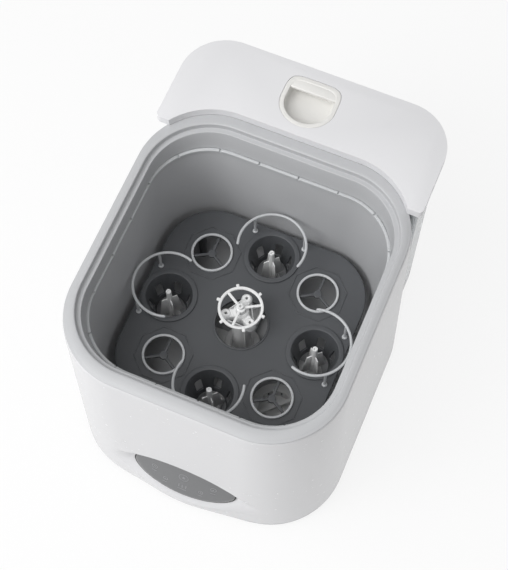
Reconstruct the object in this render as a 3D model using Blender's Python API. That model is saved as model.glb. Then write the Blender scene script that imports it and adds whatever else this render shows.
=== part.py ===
"""Bottle washing machine with a round-cornered tub, a bottle rack and a rear water tank.

The origin is on the surface that the machine stands on, under the middle of its box.
The front, with the control panel, faces -Y. The tub's axis stands a little in front of
the origin. Lengths are in metres.
"""
from math import acos, asin, atan2, cos, degrees, pi, radians, sin, sqrt

import bmesh
import bpy
from mathutils import Vector

# Clearances
GAP = 0.0003
RUN = 0.0006
OVER = 0.002
PLAY = 0.001

# Whole machine
RIM_Z = 0.288
CHIN_OUT = 0.0126
TANK_DEEP = 0.075

# Rim frame: half width, half depth and corner radius of its outer edge, then its steps inwards
RIM_X = 0.138
RIM_Y = 0.150
RIM_R = 0.074
RIM_TOP_X = 0.0055
RIM_TOP_Y = 0.011
LEDGE_DROP = 0.007
LEDGE_W = 0.005
NECK_DRAFT_Y = 0.005
NECK_DRAFT_X = 0.0006
RIM_H = 0.030
RIM_EDGE = 0.0015
NECK_WALL = 0.0025

# Outer shell
SHELL_WALL = 0.003
SHELL_LIP = 0.004
SHELL_LIP_DROP = 0.002
SHELL_LIP_ROUND = 0.006
SHELL_FLARE_X = 0.008
SHELL_FLARE_Y = 0.007
SHELL_BASE_R = 0.083
CHIN_Z = 0.033
CHIN_HALF_X = 0.085
CHIN_DOWN = 0.038
CHIN_UP = 0.074
SHELF_BEAD = 0.003
SHELF_BEAD_W = 0.0018

# Oval scoop for the control panel, and the panel itself
SCOOP_Z = 0.051
SCOOP_HALF_X = 0.082
SCOOP_UP = 0.058
SCOOP_DOWN = 0.0168
SCOOP_BOW = 0.0104
SCOOP_BACK = 0.004
SCOOP_TILT = 10.9
PANEL_Z = 0.0635
PANEL_HALF_X = 0.0577
PANEL_HALF_H = 0.0240
PANEL_BOW = 0.0049
PANEL_TILT = 20.0
PANEL_BACK = 0.013
PANEL_T = 0.0020
PANEL_SEAT_T = 0.0030
PANEL_MARGIN = 0.0030
CONTROL_BOARD_BACK = 0.0095
CONTROL_BOARD_HALF_X = 0.042
CONTROL_BOARD_HALF_H = 0.015
BOARD_PEG_R = 0.0025
BOARD_PEG_X = 0.034

# Wash tub: half width, half depth and corner radius at its mouth, wall, low wall and floor
TUB_WALL = 0.0025
TUB_MOUTH = (0.1270, 0.1275, 0.0645)
TUB_MIDDLE = (0.1210, 0.1220, 0.0600, 0.150)
TUB_LOW = (0.1180, 0.1190, 0.0560, 0.090)
TUB_FLOOR = (0.1120, 0.1130, 0.0500, 0.078)
TUB_FLANGE_X = 0.0115
TUB_FLANGE_Y = 0.0220
SEAL_H = 0.0032
SEAL_IN_X = 0.0018
SEAL_IN_Y = 0.0015
SEAL_OUT = 0.0045
TUB_POST_R = 0.005
TUB_POSTS = ((-0.040, -0.095), (0.040, -0.095), (-0.040, 0.095), (0.062, 0.095))

# Centre column: manifold, tower, rotor and crown
HUB_R = 0.020
MANIFOLD_H = 0.012
MANIFOLD_WALL = 0.002
ARM_W = 0.014
JET_REACH = 0.083
SOCKET_R = 0.010
TOWER_BASE_R = 0.011
TOWER_TOP_R = 0.0075
TOWER_TOP_Z = 0.168
TOWER_BORE_R = 0.0016
AXLE_R = 0.0030
AXLE_TOP_Z = 0.1955
ROTOR_H = 0.0154
ROTOR_HUB_R = 0.009
ROTOR_LOBES = 3
ROTOR_LOBE_AT = 0.0155
ROTOR_LOBE_R = 0.0058
ROTOR_JET_R = 0.0016
ROTOR_START = 90.0
CROWN_Z = 0.1905
CROWN_R = 0.0220
CROWN_T = 0.0030
CROWN_HUB_R = 0.0050
CROWN_SPOKE_W = 0.0030
CROWN_SPOKES = 3
CROWN_START = 30.0
NUB_L = 0.0030
NUB_W = 0.0026
CROWN_NUBS = 6

# Bottle jets
JET_FOOT_R = 0.0065
JET_TIP_R = 0.0028
JET_BORE_R = 0.0015
JET_TOP_Z = 0.158
JET_FIN_R = 0.0135
JET_FIN_T = 0.0020
JET_FIN_LOW = 0.100
JET_FIN_HIGH = 0.140

# Bottle rack
DECK_Z = 0.146
DECK_T = 0.003
DECK_X = 0.113
DECK_Y = 0.115
DECK_R = 0.056
DECK_SKIRT = 0.008
DECK_SKIRT_T = 0.0025
DECK_CENTRE_R = 0.0275
DECK_BOTTLE_R = 0.0270
CORNER_X = 0.061
CORNER_Y = 0.063
CORNER_HOLE_R = 0.0205
CORNER_HUB_R = 0.004
CORNER_BAR_W = 0.0030
CORNER_BARS = 3
CORNER_TURN = 90.0
LEG_X = 0.084
LEG_Y = 0.086
LEG_R = 0.0045
CUP_FLANGE = 0.0035
CUP_FLANGE_T = 0.0018
CUP_WALL = 0.0018
CUP_LOW_R = 0.0175
CUP_LOW_Z = 0.108
CUP_SLOT_W = 0.009
CUP_SLOT_PAIRS = 3
CUP_SLOT_MARGIN = 0.007
HOOP_R = 0.036
HOOP_WIRE_R = 0.0015
HOOP_Z = 0.177
HOOP_SWEEP = 111.0
HOOP_STEM = 52.0
RING_R = 0.0225
RING_T = 0.0026
RING_W = 0.0026

# Water tank behind the body
TANK_COVER_X = 0.141
TANK_COVER_R = 0.049
TANK_COVER_Z = RIM_Z
TANK_COVER_H = 0.0100
TANK_COVER_T = 0.0025
TANK_COVER_EDGE = 0.0012
TANK_COVER_TIP = 0.0155
TANK_HUG = 0.0008
TANK_INSET_X = 0.006
TANK_INSET_Y = 0.008
TANK_BODY_R = 0.042
TANK_WALL = 0.0025
TANK_CLEAR = 0.0020
TANK_TIP = 0.006
TANK_RIB_H = 0.0040
TANK_RIB_W = 0.0015
SHELF_TOP_Z = 0.030
SHELF_WALL = 0.003
GRIP_X = -0.006
GRIP_IN = 0.041
GRIP_HALF_X = 0.0290
GRIP_FRONT = 0.0270
GRIP_FRONT_SHARE = 2.0
GRIP_REAR = 0.0280
GRIP_CORNER = 0.0090
GRIP_FLANGE = 0.0030
GRIP_FLANGE_T = 0.0012
GRIP_DEPTH = 0.017
GRIP_WALL = 0.0018
BAR_W = 0.0100
BAR_T = 0.0040
BAR_DROP = 0.0004
VALVE_X = 0.045
VALVE_IN = 0.039
VALVE_R = 0.0045
VALVE_HEAD_R = 0.0085
VALVE_HEAD_T = 0.0030
VALVE_OPEN = 0.0040
VALVE_LOW_Z = 0.0230
FILL_X = VALVE_X
FILL_Z = 0.0195
DOCK_R = 0.016
DOCK_TOP_Z = 0.0285
VALVE_HOLE_R = 0.0065
DOCK_PIN_R = 0.0030
DOCK_WALL = 0.003

# Base compartment: places are from the tub's axis
TRAY_Z = 0.006
TRAY_T = 0.003
TRAY_INSET = 0.0005
TRAY_JOIN_Y = 0.130
SCREW_R = 0.0022
SCREW_HEAD_R = 0.0040
SCREW_HEAD_T = 0.0015
SCREW_L = 0.015
BOSS_R = 0.0065
BOSS_H = 0.020
BOSS_SINK = 0.0015
FOOT_R = 0.012
FOOT_SIDE_IN = 0.045
FOOT_FRONT_IN = 0.063
FOOT_REAR_IN = 0.033

PUMP_R = 0.033
PUMP_LOW_Z = 0.046
PUMP_HIGH_Z = 0.068
PUMP_WALL = 0.0025
PUMP_NECK_R = 0.0095
PUMP_BORE_R = 0.0065
MOTOR_R = 0.027
MOTOR_BORE_DEEP = 0.012
SHAFT_R = 0.0030
IMPELLER_R = 0.026
IMPELLER_H = 0.012
IMPELLER_DISC_T = 0.0025
IMPELLER_HUB_R = 0.0070
BLADE_W = 0.0030
BLADES = 6

SUMP_X = 0.060
SUMP_Y = -0.050
SUMP_R = 0.0245
SUMP_WALL = 0.0025
SUMP_LOW_Z = 0.052
SUMP_FLANGE = 0.003
SUMP_DRAIN_R = 0.005
FILTER_RIM_T = 0.0016
FILTER_RIM_R = 0.0265
FILTER_R = 0.0195
FILTER_DEEP = 0.015
FILTER_WALL = 0.0015
FILTER_KEY_W = 0.0035
FILTER_KEY_H = 0.006
FILTER_SLOT_W = 0.0022
FILTER_SLOT_PAIRS = 4

DRAIN_R = 0.019
DRAIN_LOW_Z = 0.036
DRAIN_MOTOR_R = 0.016
DRAIN_IMPELLER_R = 0.0125
DRAIN_IMPELLER_H = 0.007
DRAIN_BLADES = 5

HEATER_R = 0.048
HEATER_W = 0.014
HEATER_T = 0.005
HEATER_START = -5.0
HEATER_SWEEP = 290.0

FAN_X = -0.088
FAN_Y = -0.050
FAN_R = 0.033
FAN_H = 0.030
FAN_WALL = 0.0020
FAN_PIN_R = 0.0020
FAN_WHEEL_R = 0.028
FAN_WHEEL_H = 0.020
FAN_HUB_R = 0.011
FAN_BLADES = 14
FAN_BLADE_W = 0.0016
FAN_EYE_R = 0.018
FAN_OUTLET_W = 0.022
FAN_OUTLET_H = 0.018
DUCT_IN = 0.0046
DUCT_T = 0.0062
DUCT_W = 0.046
DUCT_WALL = 0.0012
AIR_DOOR_Y = -0.040
AIR_DOOR_W = 0.058
AIR_DOOR_H = 0.036
AIR_DOOR_Z = 0.042
AIR_SLOT_H = 0.0026
AIR_SLOTS = 5
AIR_FILTER_T = 0.006

POWER_BOARD_X = -0.085
POWER_BOARD_Y = 0.062
POWER_BOARD_W = 0.070
POWER_BOARD_D = 0.080
BOARD_T = 0.0016
STANDOFF_H = 0.006
STANDOFF_R = 0.004
STANDOFF_IN = 0.006
COIL_R = 0.010
COIL_H = 0.018
CAPACITOR_R = 0.007
CAPACITOR_H = 0.022
INLET_Y = 0.040
INLET_Z = 0.032
INLET_W = 0.026
INLET_H = 0.020
INLET_FLANGE = 0.003
INLET_FLANGE_T = 0.002
INLET_DEEP = 0.016
INLET_WALL = 0.0025
INLET_PIN_R = 0.0012
INLET_PIN_APART = 0.0086
HOSE_R = 0.0065
HOSE_BORE_R = 0.0045
HOSE_LEAD = 0.0030
PORT_L = 0.005
PORT_Z = 0.059
FILL_ROUTE = ((0.045, 0.158, 0.0195), (0.045, 0.145, 0.0195), (0.040, 0.115, 0.026),
              (0.012, 0.075, 0.054), (0, 0.052, 0.059))
DRAIN_ROUTE = ((0.095, -0.050, 0.0435), (0.112, -0.020, 0.042), (0.116, 0.030, 0.038),
               (0.110, 0.085, 0.028), (0.088, 0.130, 0.0195), (0.085, 0.155, 0.0195), (0.085, 0.175, 0.0195))
SPIGOT_X = 0.085
SPIGOT_Z = 0.0195
SPIGOT_OUT = 0.0070
SPIGOT_FLANGE_R = 0.0090
SPIGOT_FLANGE_T = 0.0020

# Counts
ARC_STEPS = 6
SIDE_STEPS = 8
TANK_STEPS = 6
NOSE_STEPS = 2
ROUND = 20
SMALL_ROUND = 10
FINE_ROUND = 36
HOOP_STEPS = 14
WIRE_ROUND = 6
HOSE_ROUND = 8
HOSE_STEPS = 2
SMOOTH_ANGLE = 35.0


def clear_scene():
    for obj in list(bpy.data.objects):
        bpy.data.objects.remove(obj, do_unlink=True)


def linear(channel):
    return channel / 12.92 if channel <= 0.04045 else ((channel + 0.055) / 1.055) ** 2.4


def finish_of(name, colour, roughness, metallic=0.0):
    """One Principled material for each sub-part, from its sRGB colour."""
    material = bpy.data.materials.new(name)
    material.use_nodes = True
    shader = material.node_tree.nodes["Principled BSDF"]
    rgb = [linear(int(colour[i:i + 2], 16) / 255) for i in (0, 2, 4)]
    shader.inputs["Base Color"].default_value = (*rgb, 1)
    shader.inputs["Roughness"].default_value = roughness
    shader.inputs["Metallic"].default_value = metallic
    material.diffuse_color = (*rgb, 1)
    return material


def add_mesh(name, bm, finish):
    mesh = bpy.data.meshes.new(name)
    bm.to_mesh(mesh)
    bm.free()
    mesh.shade_smooth()
    mesh.set_sharp_from_angle(angle=radians(SMOOTH_ANGLE))
    obj = bpy.data.objects.new(name, mesh)
    bpy.context.scene.collection.objects.link(obj)
    if finish:
        mesh.materials.append(finish_of(name + "_finish", *finish))
    return obj


def combine(target, other, operation):
    """Cut a shape out of a solid, or weld one onto it."""
    other.hide_render = True
    other.display_type = "WIRE"
    modifier = target.modifiers.new(operation.lower() + "_" + other.name, "BOOLEAN")
    modifier.operation = operation
    modifier.solver = "EXACT"
    modifier.object = other
    return target


def cut(target, *cutters):
    for cutter in cutters:
        combine(target, cutter, "DIFFERENCE")
    return target


def weld(target, *others):
    for other in others:
        combine(target, other, "UNION")
    return target


def at(x, y, z=0.0):
    """A place given from the tub's axis, in the machine's own frame."""
    return Vector((x, TUB_Y + y, z))


def polar(radius, angle, centre=(0, 0)):
    return centre[0] + radius * cos(radians(angle)), centre[1] + radius * sin(radians(angle))


def loft(rings, closed_path=False):
    """Skin a row of rings that have equally many points; a closed path needs no end faces."""
    bm = bmesh.new()
    rows = [[bm.verts.new(p) for p in ring] for ring in rings]
    count = len(rows[0])
    pairs = list(zip(rows, rows[1:]))
    if closed_path:
        pairs.append((rows[-1], rows[0]))
    for low, high in pairs:
        for i in range(count):
            j = (i + 1) % count
            bm.faces.new((low[i], low[j], high[j], high[i]))
    if not closed_path:
        bm.faces.new(list(reversed(rows[0])))
        bm.faces.new(rows[-1])
    bmesh.ops.recalc_face_normals(bm, faces=bm.faces)
    return bm


def bowed_loft(rings):
    """Skin rings whose end faces bow: each end is made of upright strips from side to side."""
    bm = bmesh.new()
    rows = [[bm.verts.new(p) for p in ring] for ring in rings]
    count = len(rows[0])
    for low, high in zip(rows, rows[1:]):
        for i in range(count):
            j = (i + 1) % count
            bm.faces.new((low[i], low[j], high[j], high[i]))
    for row in (rows[0], rows[-1]):
        for i in range(count // 2):
            strip = [row[i], row[i + 1], row[count - i - 1], row[-i]]
            bm.faces.new(list(dict.fromkeys(strip)))
    bmesh.ops.recalc_face_normals(bm, faces=bm.faces)
    return bm


def rounded_outline(half_x, half_y, radius, front_steps=1):
    """A rounded rectangle round the tub's axis, anticlockwise, from the front edge's left end."""
    straight = half_x - radius
    points = [(-straight + 2 * straight * k / front_steps, -half_y) for k in range(front_steps)]
    for sign_x, sign_y, start in ((1, -1, -90), (1, 1, 0), (-1, 1, 90), (-1, -1, 180)):
        corner = sign_x * (half_x - radius), sign_y * (half_y - radius)
        points += [polar(radius, start + 90 * k / ARC_STEPS, corner) for k in range(ARC_STEPS + 1)]
    return points[:-1]


def circle(radius, centre=(0, 0), steps=ROUND):
    return [polar(radius, 360 * k / steps, centre) for k in range(steps)]


def ring_at(outline, z):
    return [at(x, y, z) for x, y in outline]


def frame_ring(name, sections, finish):
    """A ring round the tub, from half x, half y, corner radius and z along its closed section."""
    rings = [ring_at(rounded_outline(hx, hy, r), z) for hx, hy, r, z in sections]
    return add_mesh(name, loft(rings, closed_path=True), finish)


def pan(name, sections, finish):
    """A vessel whose section runs from its inner floor, over its edge, to its underside."""
    rings = [ring_at(rounded_outline(hx, hy, r), z) for hx, hy, r, z in sections]
    return add_mesh(name, loft(rings), finish)


def prism(name, outline, low, high, finish=None):
    return add_mesh(name, loft([ring_at(outline, low), ring_at(outline, high)]), finish)


def turned(name, profile, centre=(0, 0), finish=None, steps=ROUND):
    """A solid turned about an upright axis, from radius and z along its section."""
    rings = [ring_at(circle(radius, centre, steps), z) for radius, z in profile]
    return add_mesh(name, loft(rings), finish)


def turned_ring(name, profile, centre=(0, 0), finish=None, steps=ROUND):
    """A turned piece with a hole through it: its section is a closed path."""
    rings = [ring_at(circle(radius, centre, steps), z) for radius, z in profile]
    return add_mesh(name, loft(rings, closed_path=True), finish)


def box(name, low, high, finish=None):
    bm = bmesh.new()
    bmesh.ops.create_cube(bm, size=1)
    for v in bm.verts:
        v.co = [low[i] if v.co[i] < 0 else high[i] for i in range(3)]
    bmesh.ops.translate(bm, vec=(0, TUB_Y, 0), verts=bm.verts)
    return add_mesh(name, bm, finish)


def turned_box(name, length, width, low, high, centre, angle):
    """A flat bar centred on a place and turned about the upright through it."""
    along, across = Vector((*polar(length / 2, angle), 0)), Vector((*polar(width / 2, angle + 90), 0))
    middle = Vector((*centre, 0))
    corners = [middle - along - across, middle + along - across, middle + along + across,
               middle - along + across]
    return prism(name, [(c.x, c.y) for c in corners], low, high)


def tube(name, points, radius, bore=0.0, finish=None, steps=SMALL_ROUND):
    """A round bar or hose along points, from the tub's axis; a bore makes it hollow."""
    route = [at(*p) for p in points]
    tangents = [(b - a).normalized() for a, b in zip(route, route[1:])]
    ways = [tangents[0]] + [(a + b).normalized() for a, b in zip(tangents, tangents[1:])] + [tangents[-1]]
    side = ways[0].orthogonal().normalized()
    walls = [[], []]
    for place, way in zip(route, ways):
        side = (side - way * side.dot(way)).normalized()
        other = way.cross(side)
        turn = [2 * pi * k / steps for k in range(steps)]
        for wall, size in zip(walls, (radius, bore)):
            wall.append([place + size * (side * cos(t) + other * sin(t)) for t in turn])
    if bore:
        return add_mesh(name, loft(walls[0] + list(reversed(walls[1])), closed_path=True), finish)
    return add_mesh(name, loft(walls[0]), finish)


def smooth_route(points):
    """Points on a smooth curve through a route's own points."""
    route = [Vector(p) for p in points]
    ends = [2 * route[0] - route[1]] + route + [2 * route[-1] - route[-2]]
    curve = []
    for a, b, c, d in zip(ends, ends[1:], ends[2:], ends[3:]):
        for k in range(HOSE_STEPS):
            t = k / HOSE_STEPS
            curve.append(0.5 * (2 * b + (c - a) * t + (2 * a - 5 * b + 4 * c - d) * t * t
                                + (3 * b - a - 3 * c + d) * t ** 3))
    return curve + [route[-1]]


def arc_points(radius, centre, z, start, sweep, steps):
    return [(*polar(radius, start + sweep * k / steps, centre), z) for k in range(steps + 1)]


def sector(inner, outer, start, end, centre=(0, 0), steps=SMALL_ROUND):
    """A piece of a flat ring, as an outline."""
    turns = [start + (end - start) * k / steps for k in range(steps + 1)]
    return ([polar(outer, t, centre) for t in turns]
            + [polar(inner, t, centre) for t in reversed(turns)])


def blades(count, root, tip, width):
    """The outline of a hub with straight blades."""
    outline = []
    for k in range(count):
        turn = 360 * k / count
        for radius in (root, tip):
            half = degrees(asin(width / 2 / radius))
            outline.append((radius, turn - half, half))
    points = []
    for (low, start, half_low), (high, _, half_high) in zip(outline[::2], outline[1::2]):
        middle = start + half_low
        points += [polar(low, middle - half_low), polar(high, middle - half_high),
                   polar(high, middle + half_high), polar(low, middle + half_low)]
    return points


def moved(outline, centre):
    return [(x + centre[0], y + centre[1]) for x, y in outline]


def hang_on(name, place, *pieces):
    """Give moving pieces one parent empty on their joint's axis."""
    axis = bpy.data.objects.new(name + "_axis", None)
    axis.location = place
    bpy.context.scene.collection.objects.link(axis)
    bpy.context.view_layer.update()
    for piece in pieces:
        piece.parent = axis
        piece.matrix_parent_inverse = axis.matrix_world.inverted()


WHITE_GLOSS = ("EDEDEE", 0.22)
RIM_GREY = ("BCBEC1", 0.40)
TUB_GREY = ("9A9CA0", 0.38)
RACK_GREY = ("4C4D50", 0.45)
HOOP_GREY = ("C9CACC", 0.40)
PART_WHITE = ("F0F0F0", 0.35)
CLEAR_PALE = ("DFE2E4", 0.20)
WARM_WHITE = ("E9E8E2", 0.35)
PANEL_DARK = ("3F4043", 0.12)
BOARD_GREEN = ("2E6B43", 0.50)
RUBBER_GREY = ("5A5B5D", 0.75)
FIBRE_PALE = ("D8DADB", 0.9)
STEEL = ("B8BABD", 0.30, 1.0)
BLACK_MOULDED = ("2A2B2D", 0.50)
GREY_MOULDED = ("8D9094", 0.50)
HOSE_CLEAR = ("CFD3D5", 0.35)

# Outer shell

TRAY_TOP = TRAY_Z + TRAY_T
SHELL_BASE_Z = TRAY_TOP + GAP
SHELL_TOP_Z = RIM_Z - SHELL_LIP_DROP
RIM_LOW_Z = RIM_Z - RIM_H
TUB_MOUTH_Z = RIM_LOW_Z - SEAL_H - 2 * GAP
PLACES = [polar(JET_REACH, turn) for turn in (0, 90, 180, 270)]
CORNERS = [(x, y) for x in (-CORNER_X, CORNER_X) for y in (-CORNER_Y, CORNER_Y)]


def shell_size(z, inset=0.0):
    """Half width, half depth and corner radius of the shell at a height."""
    share = max(0.0, min(1.0, (SHELL_TOP_Z - z) / (SHELL_TOP_Z - SHELL_BASE_Z)))
    radius = RIM_R + SHELL_LIP + (SHELL_BASE_R - RIM_R - SHELL_LIP) * share
    return (RIM_X + SHELL_LIP + SHELL_FLARE_X * share - inset,
            RIM_Y + SHELL_LIP + SHELL_FLARE_Y * share - inset, radius - inset)


# Places that follow the shell's front and the tank's rear, from the tub's axis
FRONT = shell_size(CHIN_Z)[1] + CHIN_OUT
TANK_REAR_Y = RIM_Y + SHELL_LIP + TANK_DEEP
TUB_Y = (FRONT - TANK_REAR_Y) / 2
PANEL_OUT = FRONT - PANEL_BACK
SCOOP_OUT = FRONT - SCOOP_BACK
GRIP_Y = TANK_REAR_Y - GRIP_IN
VALVE_Y = TANK_REAR_Y - VALVE_IN
FOOT_X = shell_size(SHELL_BASE_Z)[0] - FOOT_SIDE_IN
FOOT_FRONT_Y = FOOT_FRONT_IN - FRONT
FOOT_REAR_Y = TANK_REAR_Y - FOOT_REAR_IN
DUCT_X = RIM_X - DUCT_IN


def boss_places():
    """Where the shell's bosses stand: sunk a little into its four round corners."""
    half_x, half_y, radius = shell_size(SHELL_BASE_Z)
    reach = (radius - SHELL_WALL - BOSS_R + BOSS_SINK) * cos(pi / 4)
    x, y = half_x - radius + reach, half_y - radius + reach
    return [(-x, -y), (x, -y), (x, y), (-x, y)]


def chin(x, z):
    """How far the chin under the panel stands out of the front wall."""
    across = abs(x) / CHIN_HALF_X
    upward = abs(z - CHIN_Z) / (CHIN_UP if z > CHIN_Z else CHIN_DOWN)
    if across >= 1 or upward >= 1:
        return 0.0
    fall = (1 - upward ** 2) ** 2 if z > CHIN_Z else 1 - upward ** 2
    return CHIN_OUT * (1 - across ** 2) ** 2 * fall


def shell_outline(z, inset=0.0):
    outline = rounded_outline(*shell_size(z, inset), front_steps=SIDE_STEPS)
    return [(x, y - (chin(x, z) if y < 0 else 0.0)) for x, y in outline]


CHIN_LEVEL_SHARES = (0.25, 0.5, 0.75, 1.0)
LIP_SHARES = (0, 0.3, 0.7, 1)


def shell_levels():
    """Heights of the shell's rings: close together at the chin, wide apart above it."""
    chin_levels = [CHIN_Z + CHIN_UP * share for share in CHIN_LEVEL_SHARES]
    return [SHELL_BASE_Z, (SHELL_BASE_Z + CHIN_Z) / 2, CHIN_Z] + chin_levels


def oval(half_x, up, down):
    """An egg-shaped oval as points across and up, starting at its right end."""
    turns = [2 * pi * k / ROUND for k in range(ROUND)]
    return [(half_x * cos(t), (up if sin(t) > 0 else down) * sin(t)) for t in turns]


def bowed_ring(outline, half_x, out, z, tilt, bow, back=0.0):
    """An oval on a face that leans back by tilt and whose ends bow back."""
    lean, rise = sin(radians(tilt)), cos(radians(tilt))
    return [at(u, back - out + v * lean + bow * (u / half_x) ** 2, z + v * rise) for u, v in outline]


def panel_ring(grow, back):
    outline = oval(PANEL_HALF_X + grow, PANEL_HALF_H + grow, PANEL_HALF_H + grow)
    return bowed_ring(outline, PANEL_HALF_X, PANEL_OUT, PANEL_Z, PANEL_TILT, PANEL_BOW, back)


def scoop_solid(name, grow=0.0, back=0.0):
    """The scoop as a solid that tapers from its mouth on the wall to the panel's seat."""
    mouth = bowed_ring(oval(SCOOP_HALF_X + grow, SCOOP_UP + grow, SCOOP_DOWN + grow), SCOOP_HALF_X,
                       SCOOP_OUT, SCOOP_Z, SCOOP_TILT, SCOOP_BOW, back)
    far = [Vector((p.x, p.y - FRONT / 2, p.z)) for p in mouth]
    seat = panel_ring(PANEL_MARGIN + grow, PANEL_T + GAP + back)
    return add_mesh(name, bowed_loft([seat, mouth, far]), None)


def wall_block(name, middle_y, middle_z, width, height, out, deep, finish=None):
    """A block set in the left wall: out is how far it stands out, deep how far it goes in."""
    ring = []
    for y, z in ((-1, -1), (1, -1), (1, 1), (-1, 1)):
        ring.append((middle_y + y * width / 2, middle_z + z * height / 2))
    outer = [at(-shell_size(z)[0] - out, y, z) for y, z in ring]
    inner = [at(-shell_size(z)[0] + deep, y, z) for y, z in ring]
    return add_mesh(name, loft([outer, inner]), finish)


def make_shell():
    levels = shell_levels()
    outer = [ring_at(shell_outline(z), z) for z in levels]
    for share in LIP_SHARES:
        turn = share * pi / 2
        drop = SHELL_LIP_ROUND * (1 - sin(turn))
        inset = SHELL_LIP / 2 * (1 - cos(turn))
        outer.append(ring_at(shell_outline(SHELL_TOP_Z, inset), SHELL_TOP_Z - drop))
    shell = add_mesh("outer_shell", loft(outer), WHITE_GLOSS)
    neck = SHELL_LIP - GAP
    bead = neck + SHELF_BEAD_W
    inner = [ring_at(shell_outline(z, SHELL_WALL), z) for z in levels]
    inner.insert(0, ring_at(shell_outline(SHELL_BASE_Z, SHELL_WALL), SHELL_BASE_Z - OVER))
    bead_top = RIM_LOW_Z - GAP
    for inset, z in ((SHELL_WALL, bead_top - SHELF_BEAD), (bead, bead_top - SHELF_BEAD),
                     (bead, bead_top), (neck, bead_top), (neck, SHELL_TOP_Z + OVER)):
        inner.append(ring_at(shell_outline(SHELL_TOP_Z, inset), z))
    cavity = add_mesh("shell_cavity", loft(inner), None)
    cut(cavity, scoop_solid("scoop_backing", SHELL_WALL, PANEL_SEAT_T))
    cut(shell, scoop_solid("scoop"), cavity)
    for i, place in enumerate(boss_places()):
        boss = [(BOSS_R, SHELL_BASE_Z), (BOSS_R, SHELL_BASE_Z + BOSS_H)]
        weld(shell, turned(f"shell_boss_{i}", boss, place, steps=SMALL_ROUND))
        bore_top = TRAY_TOP + SCREW_L
        cut(shell, turned(f"shell_boss_bore_{i}", [(SCREW_R + GAP, TRAY_Z), (SCREW_R + GAP, bore_top)], place,
                          steps=SMALL_ROUND))
    seat_back = PANEL_T + GAP + PANEL_SEAT_T
    for side in (-1, 1):
        x = side * BOARD_PEG_X
        bow = PANEL_BOW * (BOARD_PEG_X / PANEL_HALF_X) ** 2
        start = (x, seat_back - PANEL_OUT + bow - PANEL_SEAT_T / 2, PANEL_Z)
        slant = BOARD_PEG_R * sin(radians(PANEL_TILT))
        end = (x, CONTROL_BOARD_BACK - GAP - slant - PANEL_OUT, PANEL_Z)
        weld(shell, tube(f"board_peg_{side}", [start, end], BOARD_PEG_R))
    return shell


def make_shell_openings(shell):
    """Holes through the shell for the air door, the power inlet and the two hoses at the back."""
    cut(shell,
        wall_block("air_door_hole", AIR_DOOR_Y, AIR_DOOR_Z, AIR_DOOR_W + 2 * GAP, AIR_DOOR_H + 2 * GAP,
                   OVER, SHELL_WALL + OVER),
        wall_block("inlet_hole", INLET_Y, INLET_Z, INLET_W + 2 * GAP, INLET_H + 2 * GAP,
                   OVER, SHELL_WALL + OVER))
    rear = shell_size(SHELL_BASE_Z)[1]
    for name, x, z in (("fill", FILL_X, FILL_Z), ("drain", SPIGOT_X, SPIGOT_Z)):
        start, end = (x, rear - BOSS_H, z), (x, rear + OVER, z)
        cut(shell, tube(f"{name}_hole", [start, end], HOSE_R + RUN))


def make_control_panel():
    glass = add_mesh("control_panel", bowed_loft([panel_ring(0, 0), panel_ring(0, PANEL_T)]), PANEL_DARK)
    flat = oval(CONTROL_BOARD_HALF_X, CONTROL_BOARD_HALF_H, CONTROL_BOARD_HALF_H)
    faces = [bowed_ring(flat, PANEL_HALF_X, PANEL_OUT, PANEL_Z, PANEL_TILT, 0, CONTROL_BOARD_BACK + back)
             for back in (0, BOARD_T)]
    add_mesh("control_board", bowed_loft(faces), BOARD_GREEN)
    return glass


# Rim frame, seal and tub

def rim_section(half_x, half_y, z):
    return half_x, half_y, RIM_R - (RIM_X - half_x), z


def make_rim():
    wall = NECK_WALL
    top_x, top_y = RIM_X - RIM_TOP_X, RIM_Y - RIM_TOP_Y
    ledge_x, ledge_y = top_x - LEDGE_W, top_y - LEDGE_W
    low_x, low_y = ledge_x - NECK_DRAFT_X, ledge_y - NECK_DRAFT_Y
    ledge_z = RIM_Z - LEDGE_DROP
    skirt_x, skirt_y = RIM_X - wall, RIM_Y - wall
    frame_ring("rim_frame", [
        rim_section(RIM_X, RIM_Y, RIM_LOW_Z),
        rim_section(RIM_X, RIM_Y, RIM_Z - RIM_EDGE),
        rim_section(RIM_X - RIM_EDGE, RIM_Y - RIM_EDGE, RIM_Z),
        rim_section(top_x + RIM_EDGE, top_y + RIM_EDGE, RIM_Z),
        rim_section(top_x, top_y, RIM_Z - RIM_EDGE),
        rim_section(top_x, top_y, ledge_z),
        rim_section(ledge_x, ledge_y, ledge_z),
        rim_section(low_x, low_y, RIM_LOW_Z),
        rim_section(low_x + wall, low_y + wall, RIM_LOW_Z),
        rim_section(ledge_x + wall, ledge_y + wall, ledge_z - wall),
        rim_section(top_x + wall / 2, top_y + wall, ledge_z - wall),
        rim_section(top_x + wall / 2, top_y + wall, RIM_Z - wall),
        rim_section(skirt_x, skirt_y, RIM_Z - wall),
        rim_section(skirt_x, skirt_y, RIM_LOW_Z),
    ], RIM_GREY)


def make_seal():
    mouth_x, mouth_y, mouth_r = TUB_MOUTH
    inner_x, inner_y = mouth_x - SEAL_IN_X, mouth_y - SEAL_IN_Y
    outer_x, outer_y = mouth_x + SEAL_OUT, mouth_y + SEAL_OUT
    low = TUB_MOUTH_Z + GAP
    high = low + SEAL_H
    sections = [(inner_x, inner_y, mouth_r - SEAL_IN_X, low), (outer_x, outer_y, mouth_r + SEAL_OUT, low),
                (outer_x, outer_y, mouth_r + SEAL_OUT, high), (inner_x, inner_y, mouth_r - SEAL_IN_X, high)]
    frame_ring("lip_seal", sections, HOOP_GREY)


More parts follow.
